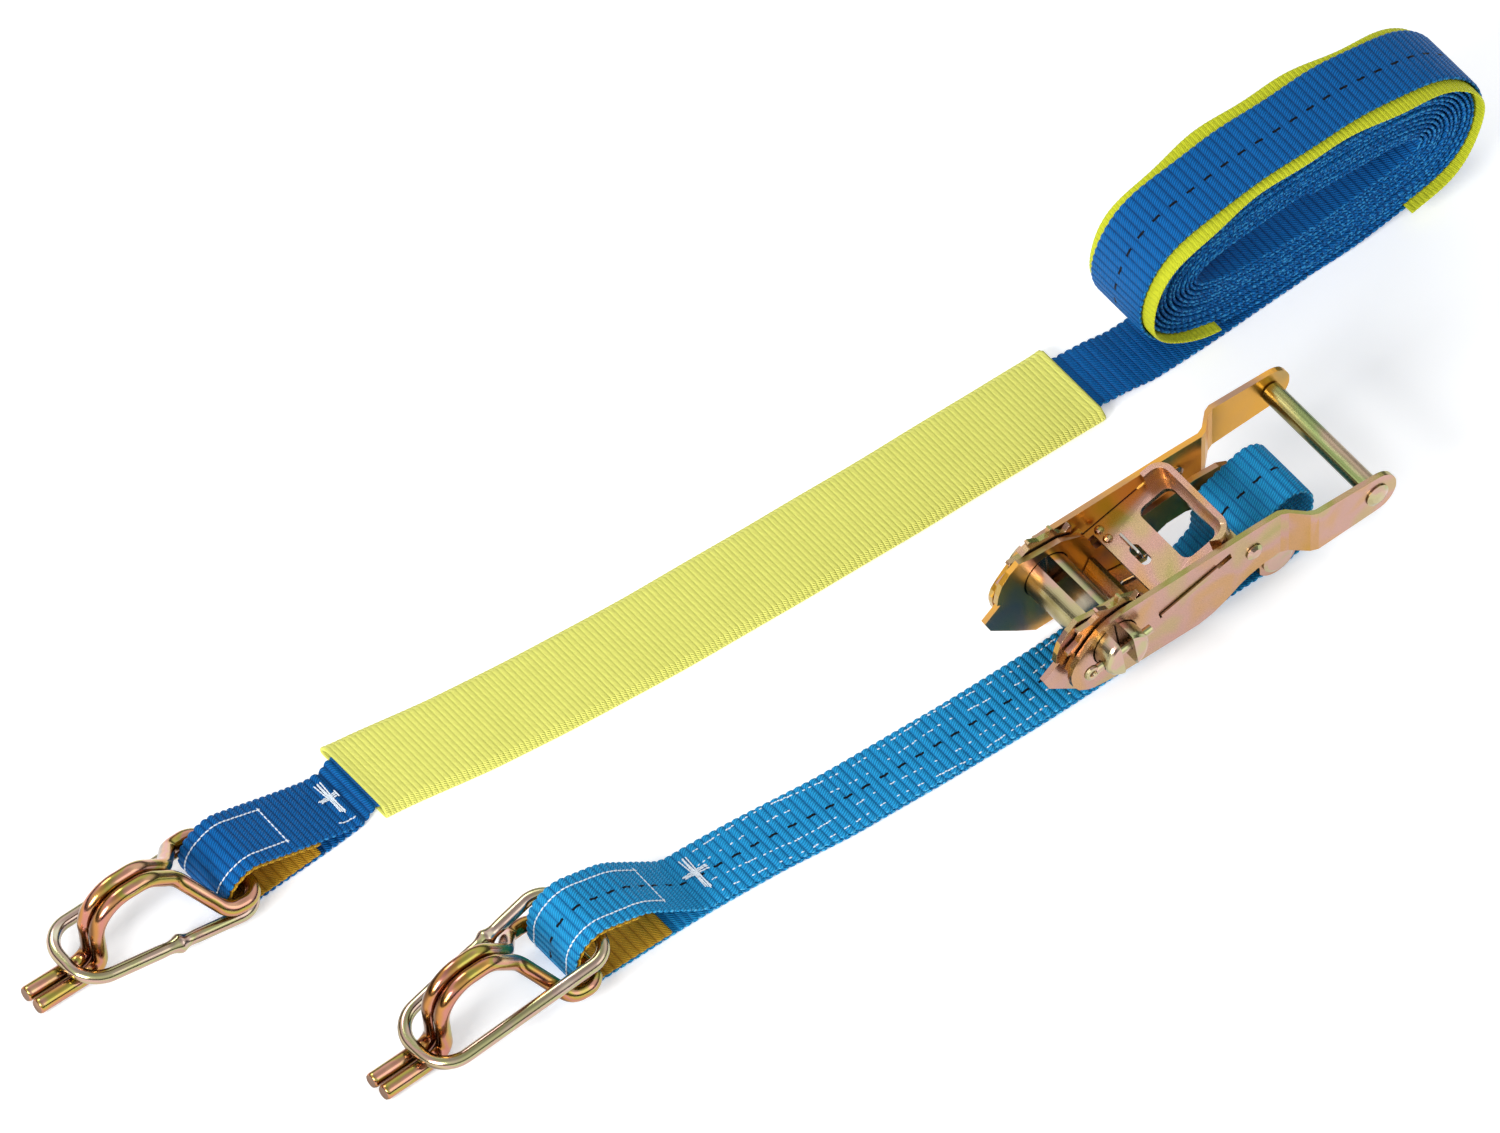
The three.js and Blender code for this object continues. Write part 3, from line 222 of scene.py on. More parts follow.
def finish_node(name, material, edge_round):
    """The CAD solid keeps its shape and gets its finish, and its cut edges are eased as tumbling leaves them."""
    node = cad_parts[name]
    node.data.materials.clear()
    node.data.materials.append(material)
    if edge_round:
        weld = node.modifiers.new("weld", "WELD")
        weld.merge_threshold = 0.005 * mm
        ease = node.modifiers.new("ease", "BEVEL")
        ease.width = edge_round
        ease.segments = 2
        ease.limit_method = "ANGLE"
        ease.angle_limit = math.radians(40)
        ease.use_clamp_overlap = True
        ease.harden_normals = True


plate_edge = 0.3 * mm
for name in ["frame_plate_left", "frame_web", "frame_pawl", "ratchet_wheel_left",
             "ratchet_wheel_right", "handle_arm_left", "handle_pawl"]:
    finish_node(name, plate_zinc, plate_edge)
# The far side plates get a painted gold reflection: gold where a face points inwards, chosen by the way the face
# points, and the plain film colours elsewhere.
gold_painted_reflection_zinc = film_colour_and_painted_facing_light(
    "zinc_far_side_painted_gold_reflection",
    [(0.0, "#BD9486"), (0.12, "#B69C74"), (0.24, "#BC9A58"), (0.38, "#F0B040"), (0.5, "#E8AC50"), (0.62, "#B08C74"),
     (0.8, "#9C9458"), (1.0, "#C4BC8E")],
    30 * mm, 0.3, 0.45, plate_brush)
finish_node("frame_plate_right", gold_painted_reflection_zinc, plate_edge)
finish_node("handle_arm_right", gold_painted_reflection_zinc, plate_edge)

# Grip tube: drawn steel tube held between the arms by a long rivet with domed heads.
# The tube shows a longer, duller film than the plates.
tube_zinc = film_colour_and_painted_facing_light(
    "yellow_zinc_drawn_tube",
    [(0.0, "#6C6638"), (0.35, "#A79E66"), (0.6, "#8C9A62"), (0.8, "#B59E86"), (1.0, "#C9C49C")],
    22 * mm, 0.26, 0.5, plate_brush)
finish_node("grip_tube", tube_zinc, plate_edge)

# Turned pieces: bolt, spool halves, rivet, studs and split pin from bright bar, zinc plated.
# Less film forms on them, so they stay paler than the plates.
pin_zinc = film_colour_and_painted_facing_light(
    "pale_zinc_turned_bar",
    [(0.0, "#84764C"), (0.35, "#B9AE84"), (0.55, "#C4A192"), (0.75, "#A6AA78"), (1.0, "#D3CDB0")],
    10 * mm, 0.22, 0.5, plate_brush)
for name in ["frame_bolt", "spool_half_front", "spool_half_rear", "split_pin",
             "grip_rivet", "stop_stud_left", "stop_stud_right"]:
    finish_node(name, pin_zinc, 0)

# Pawl springs: hard drawn spring wire, bare and lightly oiled.
# They push both pawls towards the teeth.
wire_steel = film_colour_and_painted_facing_light(
    "bare_spring_wire",
    [(0.0, "#6F6D68"), (0.5, "#B5B2AB"), (1.0, "#D4D2CC")],
    6 * mm, 0.24, 0.3, plate_brush)
finish_node("frame_pawl_spring", wire_steel, 0)
finish_node("handle_pawl_spring", wire_steel, 0)

# Hooks: one round steel rod bent double, closed end in the webbing eye, two tips turned down side by side.
# Yellow passivated all over; its gold and rose shift with the way the rod's surface points, which is painted light and
# shade: paler on top and at the front, darker underneath.
hook_rod = 5.3
hook_length = 79
hook_width = 33
hook_height = 32.6
hook_bend = 6.5
leg_gap = 0.3
tip_chamfer = 0.35
rod_sides = 28
arc_step = math.radians(5)


def rounded_path(corners, step, closed=False):
    """Corner points with bend radii become one smooth line of points."""
    line = []
    total = len(corners)
    for i, (point, radius) in enumerate(corners):
        if (not closed and i in (0, total - 1)) or not radius:
            line.append(Vector(point))
            continue
        before = Vector(corners[i - 1][0])
        after = Vector(corners[(i + 1) % total][0])
        way = (Vector(point) - before).normalized()
        out = (after - Vector(point)).normalized()
        turn = way.angle(out)
        axis = way.cross(out).normalized()
        start = Vector(point) - way * radius * math.tan(turn / 2)
        spoke = axis.cross(way) * radius
        centre = start + spoke
        steps = max(2, math.ceil(turn / step))
        for s in range(steps + 1):
            angle = turn * s / steps
            line.append(centre - spoke * math.cos(angle) + way * radius * math.sin(angle))
    return line


def evened(line, step, closed=False):
    """The same line with points at equal steps."""
    points = np.array([list(p) for p in line])
    if closed:
        points = np.vstack([points, points[:1]])
    lengths = np.linalg.norm(np.diff(points, axis=0), axis=1)
    keep = np.concatenate([[True], lengths > 1e-9])
    points = points[keep]
    along = np.concatenate([[0], np.cumsum(np.linalg.norm(np.diff(points, axis=0), axis=1))])
    count = max(8, round(along[-1] / step))
    places = np.linspace(0, along[-1], count + 1)
    result = np.stack([np.interp(places, along, points[:, k]) for k in range(3)], axis=1)
    return (result[:-1] if closed else result), along[-1]


def ways_along(points, closed):
    if closed:
        way = np.roll(points, -1, axis=0) - np.roll(points, 1, axis=0)
    else:
        way = np.gradient(points, axis=0)
    return way / np.linalg.norm(way, axis=1)[:, None]


def skin(name, rings, closed, material, uv_along=None, uv_across=None):
    """Rings of points become one closed mesh, with a UV map in metres along and across."""
    count, sides = rings.shape[:2]
    points = rings.reshape(-1, 3)
    spans = count if closed else count - 1
    faces = []
    for i in range(spans):
        a = i * sides
        b = ((i + 1) % count) * sides
        for j in range(sides):
            k = (j + 1) % sides
            faces.append((a + j, a + k, b + k, b + j))
    if not closed:
        faces.append(tuple(range(sides - 1, -1, -1)))
        faces.append(tuple((count - 1) * sides + j for j in range(sides)))
    quads = np.array(faces[:spans * sides])
    p, q, r, t = (points[quads[:, k]] for k in range(4))
    volume = np.einsum("ij,ij->i", p, np.cross(q, r)).sum() + np.einsum("ij,ij->i", p, np.cross(r, t)).sum()
    if volume < 0:
        faces = [face[::-1] for face in faces]
    mesh = bpy.data.meshes.new(name)
    mesh.from_pydata(points.tolist(), [], faces)
    mesh.polygons.foreach_set("use_smooth", [True] * (spans * sides) + [False] * (len(faces) - spans * sides))
    if uv_along is not None:
        layer = mesh.uv_layers.new(name="weave")
        corner = np.zeros(len(mesh.loops), int)
        mesh.loops.foreach_get("vertex_index", corner)
        starts = np.zeros(len(mesh.polygons), int)
        mesh.polygons.foreach_get("loop_start", starts)
        sizes = np.diff(np.append(starts, len(corner)))
        face_of = np.repeat(np.arange(len(starts)), sizes)
        ring_of = corner // sides
        u = uv_along[ring_of]
        if closed:
            wraps = (face_of >= (spans - 1) * sides) & (ring_of == 0)
            u = np.where(wraps, uv_along[-1] + uv_along[1], u)
        v = uv_across[corner % sides]
        layer.data.foreach_set("uv", np.stack([u, v], axis=1).ravel())
    mesh.update()
    return put_in_scene(name, mesh, material)


def bent_rod(name, line, radius, closed, material, swell=None):
    points, length = evened(line, 0.8 * mm, closed)
    way = ways_along(points, closed)
    side = np.cross([0, 0, 1], way[0])
    side = side / np.linalg.norm(side)
    angles = np.arange(rod_sides) * 2 * math.pi / rod_sides
    rings = []
    last = len(points) - 1
    for i, (point, forward) in enumerate(zip(points, way)):
        side = side - forward * side.dot(forward)
        side = side / np.linalg.norm(side)
        up = np.cross(forward, side)
        here = radius * (swell(point) if swell else 1)
        if not closed and i in (0, last):
            here = here - tip_chamfer * mm
        rings.append(point + here * (np.outer(np.cos(angles), side) + np.outer(np.sin(angles), up)))
    return skin(name, np.array(rings), closed, material)


def place_end(line, x, y, turn):
    cos, sin = math.cos(turn), math.sin(turn)
    return [Vector((x + p.x * cos - p.y * sin, y + p.x * sin + p.y * cos, p.z)) * mm + layout_shift for p in line]


def hook_line(eye_height):
    leg = (hook_rod + leg_gap) / 2
    floor = hook_rod / 2
    rise = hook_height - eye_height
    rows = [
        (1, leg * 1.1, floor, 0), (0.673, leg * 1.06, floor, hook_bend * 0.9), (0.713, leg, hook_height, hook_bend * 1.85),
        (0.44, leg, hook_height - floor * 0.1, hook_bend * 1.6), (0.3, leg, eye_height + rise * 0.62, hook_bend * 1.3),
        (0.155, hook_width * 0.48, eye_height + floor * 0.3, hook_bend), (0, hook_width / 2, eye_height, hook_bend),
    ]
    one = [(Vector((-along * hook_length, half, z)), radius) for along, half, z, radius in rows]
    two = [(Vector((p.x, -p.y, p.z)), radius) for p, radius in reversed(one)]
    return rounded_path(one + two, arc_step)


hook_zinc = film_colour_and_painted_facing_light(
    "yellow_zinc_hook_rod",
    [(0.1, "#6E4A2A"), (0.3, "#B37C44"), (0.42, "#B87A6C"), (0.55, "#B88A4C"), (0.68, "#A39A4A"), (0.8, "#C08C78"),
     (1.0, "#D0B884")],
    12 * mm, 0.17, 0.55, 0.5 * mm)
long_hook_x, long_hook_y, long_hook_z = -206.7, 3.2, 10.45
short_hook_x, short_hook_y, short_hook_z = -142.9, -88.5, 7.8
long_hook_turn, short_hook_turn = math.radians(0), math.radians(2)
hook_long = bent_rod("hook_long_rod", place_end(hook_line(long_hook_z), long_hook_x, long_hook_y, long_hook_turn),
                     hook_rod / 2 * mm, False, hook_zinc)
hook_short = bent_rod("hook_short_rod", place_end(hook_line(short_hook_z), short_hook_x, short_hook_y, short_hook_turn),
                      hook_rod / 2 * mm, False, hook_zinc)
for piece, node in ((hook_long, "hook_long"), (hook_short, "hook_short")):
    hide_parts(node)
    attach(piece, node)

# Keepers: round wire bent to a long loop and closed by one butt weld, which leaves a small swollen bead.
# They are plated paler than the hooks.
keeper_rod = 4.6
keeper_length = 65
keeper_eye_width = 34.5
keeper_outer_width = 24
keeper_bend = 8
nose_bend = 10.6
bead_swell = 0.42
bead_width = 1.7
long_keeper_x, long_keeper_z, long_keeper_turn, long_bead_x = -205.5, 5.2, math.radians(-2.5), -237
short_keeper_x, short_keeper_z, short_keeper_turn, short_bead_x = -138.9, 20.4, math.radians(1.8), -165
keeper_rest = hook_rod + leg_gap + keeper_rod / 2
short_keeper_extra = 1.5


def keeper_line(eye_height, length):
    rows = [
        (0, -keeper_eye_width / 2, eye_height, keeper_bend), (length, -keeper_outer_width / 2, keeper_rest, nose_bend),
        (length, keeper_outer_width / 2, keeper_rest, nose_bend), (0, keeper_eye_width / 2, eye_height, keeper_bend),
    ]
    return rounded_path([(Vector((-along, half, z)), bend) for along, half, z, bend in rows], arc_step, True)


def weld_bead(x, y, side):
    """The butt weld stands a little proud on one long leg, with a dip next to it."""
    centre = x * mm + layout_shift.x
    middle = y * mm + layout_shift.y

    def swell(point):
        if (point[1] - middle) * side < 0:
            return 1
        away = (point[0] - centre) / (bead_width * mm)
        return 1 + bead_swell * math.exp(-away * away) - 0.06 * math.exp(-(abs(away) - 2.4) ** 2)
    return swell


# As on the hooks, the colour also shifts with the way the wire's surface points: painted light and shade, paler on top,
# darker underneath.
keeper_zinc = film_colour_and_painted_facing_light(
    "pale_zinc_keeper_wire",
    [(0.05, "#7C6A52"), (0.3, "#B3A27E"), (0.46, "#B9968A"), (0.62, "#A9A878"), (0.8, "#B79E92"), (1.0, "#D6D0B4")],
    14 * mm, 0.17, 0.55, 0.5 * mm)
keeper_long = bent_rod(
    "keeper_long_loop",
    place_end(keeper_line(long_keeper_z, keeper_length), long_keeper_x, long_hook_y, long_keeper_turn),
    keeper_rod / 2 * mm, True, keeper_zinc, weld_bead(long_bead_x, long_hook_y, -1))
keeper_short = bent_rod(
    "keeper_short_loop",
    place_end(keeper_line(short_keeper_z, keeper_length + short_keeper_extra), short_keeper_x, short_hook_y,
              short_keeper_turn),
    keeper_rod / 2 * mm, True, keeper_zinc, weld_bead(short_bead_x, short_hook_y, 1))
for piece, node in ((keeper_long, "keeper_long"), (keeper_short, "keeper_short")):
    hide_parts(node)
    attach(piece, node)

# Long strap: 25 mm polyester webbing, woven with cross ribs and a dashed black tracer thread in its middle.
# It is folded back and sewn round its hook, runs through the sleeve and ends in the roll.
webbing_width = 25
webbing_thickness = 1.3
layer_gap = 0.45
pad_thickness = 1
clearance = 0.3
rib_pitch = 2.9
rib_relief = 0.3
steps_per_rib = 6
edge_dent = 0.3
floor_layer = webbing_thickness / 2
top_layer = webbing_thickness * 1.5 + layer_gap
fold_radius = 20
long_lane = [(-212, 3.2), (-161, 6.5), (-152, 9), (-108, 2.6), (-23, -3.7), (125, -7.4), (150, -9), (212, -7)]
sleeve_x, sleeve_length, sleeve_wall, sleeve_travel = -152.5, 277.5, 0.8, 12
long_eye_x, long_eye_top, long_nose_top_radius, long_nose_radius = -218, 24.6, 10.4, 7.6
roll_x = 212


def lane_at(lane, x):
    """Sideways place of a strap's middle line on the table."""
    last = len(lane) - 1
    i = next((n - 1 for n in range(1, last + 1) if lane[n][0] > x), last - 1)
    i = max(0, i)

    def slope(a, b):
        return (lane[b][1] - lane[a][1]) / (lane[b][0] - lane[a][0])
    m0 = slope(max(i - 1, 0), i + 1)
    m1 = slope(i, min(i + 2, last))
    span = lane[i + 1][0] - lane[i][0]
    t = min(max((x - lane[i][0]) / span, 0), 1)
    h = t * t * (3 - 2 * t)
    tangents = span * (m0 * t * (1 - t) ** 2 - m1 * t * t * (1 - t))
    return lane[i][1] * (1 - h) + lane[i + 1][1] * h + tangents


# Points round the webbing's cross-section, as shares of its half width and half thickness.
band_section = [(-1, 0), (-0.985, 0.62), (-0.93, 0.95), (-0.5, 1), (0, 1), (0.5, 1), (0.93, 0.95), (0.985, 0.62),
                (1, 0), (0.985, -0.62), (0.93, -0.95), (0.5, -1), (0, -1), (-0.5, -1), (-0.93, -0.95), (-0.985, -0.62)]


def woven_band(name, line, width, thickness, place, pitch, relief, steps, material, closed=False, dent=edge_dent,
               wander=0.0):
    """Flat woven tape along a line in the X-Z plane, with its ribs as real relief."""
    flat_line = [Vector((p.x, 0, p.z)) for p in line]
    rough, length = evened(flat_line, pitch / steps, closed)
    whole = round(length / pitch) * steps
    points, length = evened([Vector(p) for p in rough], length / whole, closed)
    way = ways_along(points, closed)
    normal = np.stack([-way[:, 2], np.zeros(len(way)), way[:, 0]], axis=1)
    along = np.arange(len(points)) * length / whole
    bulge = np.abs(np.sin(math.pi * along * whole / steps / length)) ** 0.7
    drift = np.sin(along / 17.3) * 0.6 + np.sin(along / 6.1 + 1.7) * 0.4
    shares = np.array(band_section)
    half_width = width / 2 - dent * (1 - bulge) + 0.12 * drift
    half_height = thickness / 2 - relief * (1 - bulge)
    middle = np.array([place(p[0]) for p in points]) + wander * drift
    rings = np.zeros((len(points), len(shares), 3))
    rings[:] = points[:, None, :]
    rings += normal[:, None, :] * (half_height[:, None] * shares[None, :, 1])[:, :, None]
    rings[:, :, 1] = middle[:, None] + half_width[:, None] * shares[None, :, 0]
    rings = rings * mm + np.array(layout_shift)
    piece = skin(name, rings, closed, material, along * mm, shares[:, 0] * width / 2 * mm)
    return piece, (points, normal, along, place)


def flat(x, z, radius=0):
    return (Vector((x, 0, z)), radius)


tracer_period = 7.0
tracer_dash = 3.1
tracer_half_width = 0.45
yarn_pitch = 0.95
selvedge_place = 12.1


def woven_polyester(name, yarn, groove_shade, pitch, yarn_size, tracer=None, selvedge=None):
    """Rows of floats lie across the strap, each row one yarn wide dashes side by side."""
    material, tree, shader = new_material(name)
    uv = add_node(tree, "ShaderNodeUVMap", {"uv_map": "weave"})
    split = add_node(tree, "ShaderNodeSeparateXYZ", inputs={0: uv.outputs[0]})
    u, v = split.outputs["X"], split.outputs["Y"]

    def maths(operation, a, b=None, c=None):
        values = {0: a}
        if b is not None:
            values[1] = b
        if c is not None:
            values[2] = c
        return add_node(tree, "ShaderNodeMath", {"operation": operation}, values).outputs[0]

    ribs = maths("ABSOLUTE", maths("SINE", maths("MULTIPLY", u, math.pi / (pitch * mm))))
    lean = maths("MULTIPLY", u, 0.55)
    slanted = maths("ADD", v, lean)
    yarns = maths("ABSOLUTE", maths("SINE", maths("MULTIPLY", slanted, math.pi / (yarn_size * mm))))
    # Fine noise: random fibre tone, whose lighter flecks are a painted sheen of the fibres.
    fibre_fuzz_and_sheen = add_node(tree, "ShaderNodeTexNoise",
                    inputs={"Vector": uv.outputs[0], "Scale": 1 / (0.9 * mm), "Detail": 3.0, "Roughness": 0.7})
    wear = add_node(tree, "ShaderNodeTexNoise",
                    inputs={"Vector": uv.outputs[0], "Scale": 1 / (22 * mm), "Detail": 2.0})
    # Painted shade: the colour runs towards the groove colour in the valleys between the ribs and in the gaps between
    # the yarns, where shade falls.
    depth = maths("MULTIPLY", maths("POWER", ribs, 0.6), maths("MULTIPLY_ADD", yarns, 0.85, 0.3))
    worn_tone = maths("MULTIPLY_ADD", wear.outputs["Fac"], 0.3, -0.44)
    shade = maths("MULTIPLY_ADD", fibre_fuzz_and_sheen.outputs["Fac"], 0.7, worn_tone)
    tone = maths("ADD", depth, shade)
    dye = add_node(tree, "ShaderNodeMix", {"data_type": "RGBA"},
                   {"Factor": tone, "A": linear(groove_shade), "B": linear(yarn)}).outputs["Result"]
    if tracer:
        period, dash, half_width, black = tracer
        dashes = maths("LESS_THAN", maths("MODULO", u, period * mm), dash * mm)
        middle = maths("LESS_THAN", maths("ABSOLUTE", v), half_width * mm)
        thread = maths("MULTIPLY", dashes, middle)
        dye = add_node(tree, "ShaderNodeMix", {"data_type": "RGBA"},
                       {"Factor": thread, "A": dye, "B": linear(black)}).outputs["Result"]
    if selvedge:
        edge = maths("GREATER_THAN", maths("ABSOLUTE", v), selvedge_place * mm)
        flecks = add_node(tree, "ShaderNodeTexNoise",
                          inputs={"Vector": uv.outputs[0], "Scale": 1 / (1.1 * mm), "Detail": 1.0})
        worn = maths("MULTIPLY", edge, maths("GREATER_THAN", flecks.outputs["Fac"], 0.56))
        dye = add_node(tree, "ShaderNodeMix", {"data_type": "RGBA"},
                       {"Factor": worn, "A": dye, "B": linear(selvedge)}).outputs["Result"]
    lift = add_node(tree, "ShaderNodeBump", inputs={"Strength": 0.9, "Distance": 0.35 * mm, "Height": tone})
    tree.links.new(dye, shader.inputs["Base Color"])
    tree.links.new(lift.outputs["Normal"], shader.inputs["Normal"])
    shader.inputs["Roughness"].default_value = 0.5
    shader.inputs["Specular IOR Level"].default_value = 0.1
    return material


# The second colour of each webbing is its painted groove shade.
blue_webbing = woven_polyester("woven_polyester_blue", "#0A66AE", "#06305F", rib_pitch, yarn_pitch,
                               selvedge="#2F86BE")


def long_eye_corners(far_top, far_bottom):
    nose = long_eye_x + floor_layer
    return [far_top, flat(-164, top_layer, 14), flat(nose, long_eye_top, long_nose_top_radius),
            flat(nose, floor_layer, long_nose_radius), far_bottom]


sleeve_bed = sleeve_wall + clearance + webbing_thickness / 2
bed_ramp = 8
sleeve_end = sleeve_x + sleeve_length
bed_end = sleeve_end + sleeve_travel + 2
long_run_line = rounded_path(
    long_eye_corners(flat(-160, top_layer), flat(sleeve_x - bed_ramp, floor_layer, fold_radius))
    + [flat(sleeve_x - clearance, sleeve_bed, fold_radius), flat(bed_end, sleeve_bed, fold_radius),
       flat(bed_end + bed_ramp, floor_layer, fold_radius), flat(roll_x - clearance, floor_layer)], arc_step)


def long_place(x):
    return lane_at(long_lane, x)


long_run, long_band = woven_band("strap_long_run_webbing", long_run_line, webbing_width, webbing_thickness, long_place,
                                 rib_pitch, rib_relief, steps_per_rib, blue_webbing, dent=0.65)
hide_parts("strap_long_run")
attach(long_run, "frame")

# Roll: the rest of the long strap, about four metres, wound flat on edge round an open middle.
# Its turns lie a little unevenly side by side, so the wound edges don't make one flat face.
roll_length, roll_height, roll_turns = 142, 68, 13.5
roll_pitch = webbing_thickness + layer_gap
roll_points_per_turn = 240
roll_steps_per_rib = 4
wear_pad_extra = pad_thickness + 1.5 * clearance
core_length = roll_length / 2 - webbing_thickness / 2 - wear_pad_extra - roll_turns * roll_pitch
core_height = roll_height / 2 - webbing_thickness / 2 - wear_pad_extra - roll_turns * roll_pitch


def roll_point(turn, inset):
    angle = -math.pi / 2 + 2 * math.pi * turn
    nx, nz = math.cos(angle), math.sin(angle)
    scale = math.hypot(core_length * nx, core_height * nz)
    t = min(max((turn - 0.95) / 0.09, 0), 1)
    extra = wear_pad_extra * (1 - t * t * (3 - 2 * t))
    out = (roll_turns - turn) * roll_pitch + extra - inset
    return Vector((roll_x + core_length ** 2 * nx / scale + out * nx, 0,
                   roll_height / 2 + core_height ** 2 * nz / scale + out * nz))


def roll_line(first, last, inset):
    steps = round((last - first) * roll_points_per_turn)
    return [roll_point(first + (last - first) * i / steps, inset) for i in range(steps + 1)]


def roll_place(x):
    return long_lane[-1][1]


traced_webbing = woven_polyester("woven_polyester_blue_traced", "#0A66AE", "#06305F", rib_pitch, yarn_pitch,
                                 (tracer_period, tracer_dash, tracer_half_width, "#0A0E16"), "#2F86BE")
roll, roll_band = woven_band("strap_long_roll_webbing", roll_line(0, roll_turns, 0), webbing_width, webbing_thickness,
                             roll_place, rib_pitch, 0.2, roll_steps_per_rib, traced_webbing, wander=0.6)
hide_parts("strap_long_coil")
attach(roll, "frame")

# Wear pad: a strip of fluorescent ribbed sleeving laid under the outermost turn of the roll.
# It is wider than the strap, and its two edges stand out and wave.
sleeving_rib = 1.9
wear_pad_width = 33
pad_inset = webbing_thickness / 2 + clearance + pad_thickness / 2
pad_sleeving = woven_polyester("woven_sleeving_bright_yellow", "#DCE034", "#B4BC26", sleeving_rib, 0.6)
wear_pad, _ = woven_band("roll_wear_pad_sleeving", roll_line(1 / 30, 29 / 30, pad_inset), wear_pad_width, pad_thickness,
                         roll_place, sleeving_rib, 0.1, 4, pad_sleeving, dent=0.1, wander=1.4)
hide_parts("coil_wear_pad")
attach(wear_pad, "frame")

# Sleeve: a flat woven tube of the same sleeving, slid over the long strap to protect it and the load.
# Beyond the strap's edges its two walls lie together, and its cut ends open a little.
sleeve_width = 34.5
sleeve_height = 2 * sleeve_wall + 2 * clearance + webbing_thickness
sleeve_edge_height = 2.1
sleeve_steps_per_rib = 4
sleeve_flare = 0.9
sleeve_flare_length = 7
sleeve_section = [(-1, 0.5), (-0.985, 0.86), (-0.94, 1), (-0.86, 1), (-0.78, 1), (-0.7, 1), (-0.45, 1), (-0.15, 1),
                  (0.15, 1), (0.45, 1), (0.7, 1), (0.78, 1), (0.86, 1), (0.94, 1), (0.985, 0.86), (1, 0.5),
                  (0.985, 0.14), (0.94, 0), (0.5, 0), (0, 0), (-0.5, 0), (-0.94, 0), (-0.985, 0.14)]


yellow_sleeving = woven_polyester("woven_sleeving_pale_yellow", "#F0EE7C", "#D2D460", sleeving_rib, 0.6)


def sleeve_mesh():
    count = round(sleeve_length / sleeving_rib) * sleeve_steps_per_rib
    outer, inner = [], []
    for i in range(count + 1):
        along = sleeve_length * i / count
        x = sleeve_x + along
        bulge = abs(math.sin(math.pi * along / sleeving_rib)) ** 0.7
        wave = math.sin(along / 19) * 0.35 + math.sin(along / 7.3 + 2) * 0.15
        end = min(along, sleeve_length - along)
        flare = sleeve_flare * max(0, 1 - end / sleeve_flare_length) ** 2
        half_width = sleeve_width / 2 - 0.12 * (1 - bulge)
        middle = long_place(x) + wave * 0.3
        for rings, wall in ((outer, 0), (inner, sleeve_wall)):
            ring = []
            for across, up in sleeve_section:
                reach = abs(across) * half_width
                slack = min(max((reach - 14.8) / 1.6, 0), 1)
                slack = slack * slack * (3 - 2 * slack)
                top = sleeve_height + (sleeve_edge_height - sleeve_height) * slack + flare
                top += wave * 0.25 * slack - 0.08 * (1 - bulge)
                low = 0.1 * (1 - bulge)
                y = middle + math.copysign(max(reach - wall, 0), across)
                z = low + wall + up * (top - low - 2 * wall)
                ring.append((x, y, z))
            rings.append(ring)
    outer, inner = (np.array(r) * mm + np.array(layout_shift) for r in (outer, inner))
    sides = len(sleeve_section)
    points = np.concatenate([outer.reshape(-1, 3), inner.reshape(-1, 3)])
    shift = (count + 1) * sides
    faces = []
    for i in range(count):
        for j in range(sides):
            k = (j + 1) % sides
            a, b = i * sides, (i + 1) * sides
            faces.append((a + j, b + j, b + k, a + k))
            faces.append((shift + a + j, shift + a + k, shift + b + k, shift + b + j))
    for j in range(sides):
        k = (j + 1) % sides
        end = count * sides
        faces.append((j, k, shift + k, shift + j))
        faces.append((end + j, shift + end + j, shift + end + k, end + k))
    p, q, r, t = (points[np.array(faces)[:, n]] for n in range(4))
    volume = np.einsum("ij,ij->i", p, np.cross(q, r)).sum() + np.einsum("ij,ij->i", p, np.cross(r, t)).sum()
    if volume < 0:
        faces = [face[::-1] for face in faces]
    mesh = bpy.data.meshes.new("sleeve_sleeving")
    mesh.from_pydata(points.tolist(), [], faces)
    mesh.polygons.foreach_set("use_smooth", [True] * len(faces))
    layer = mesh.uv_layers.new(name="weave")
    corner = np.zeros(len(mesh.loops), int)
    mesh.loops.foreach_get("vertex_index", corner)
    local = corner % shift
    u = (local // sides) * sleeve_length / count
    v = np.array([s[0] for s in sleeve_section])[local % sides] * sleeve_width / 2
    layer.data.foreach_set("uv", (np.stack([u, v], axis=1) * mm).ravel())
    return mesh


sleeve = put_in_scene("sleeve_sleeving", sleeve_mesh(), yellow_sleeving)
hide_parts("sleeve")
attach(sleeve, "sleeve")

# Short strap: the same webbing in a lighter blue, doubled and sewn to one band.
# One end makes the tall eye for its hook, the other the loop round the ratchet's bolt.
ratchet_x = 57.2
ratchet_z = 2 * webbing_thickness + layer_gap + clearance + 25.6
short_lane = [(-150, -88.5), (-97, -88.4), (-69, -89.8), (-35, -93), (46, -94.9), (100, -92.4), (126, -92)]
short_eye_x = -150.5
short_tracer_dash = 3.3
short_nose = short_eye_x + floor_layer
short_eye = [flat(-121, 20.8, 26), flat(short_nose, 29.6, 10.5), flat(short_nose, floor_layer, 9)]
short_ring = rounded_path(
    [flat(ratchet_x + 47, top_layer, fold_radius / 2), flat(-97, top_layer, 12)] + short_eye
    + [flat(ratchet_x + 85.9, floor_layer, 9), flat(ratchet_x + 88.2, ratchet_z + 7.6, 9),
       flat(ratchet_x + 60.5, ratchet_z - 3, 4.5), flat(ratchet_x + 57.5, ratchet_z - 12, 4.5),
       flat(ratchet_x + 57.5, top_layer + 7.2, 4.5)], arc_step, True)
light_webbing = woven_polyester("woven_polyester_light_blue", "#2298D0", "#0D5288", rib_pitch, yarn_pitch,
                                (tracer_period, short_tracer_dash, tracer_half_width, "#0A0E16"), "#4FB0DA")


def short_place(x):
    return lane_at(short_lane, x)


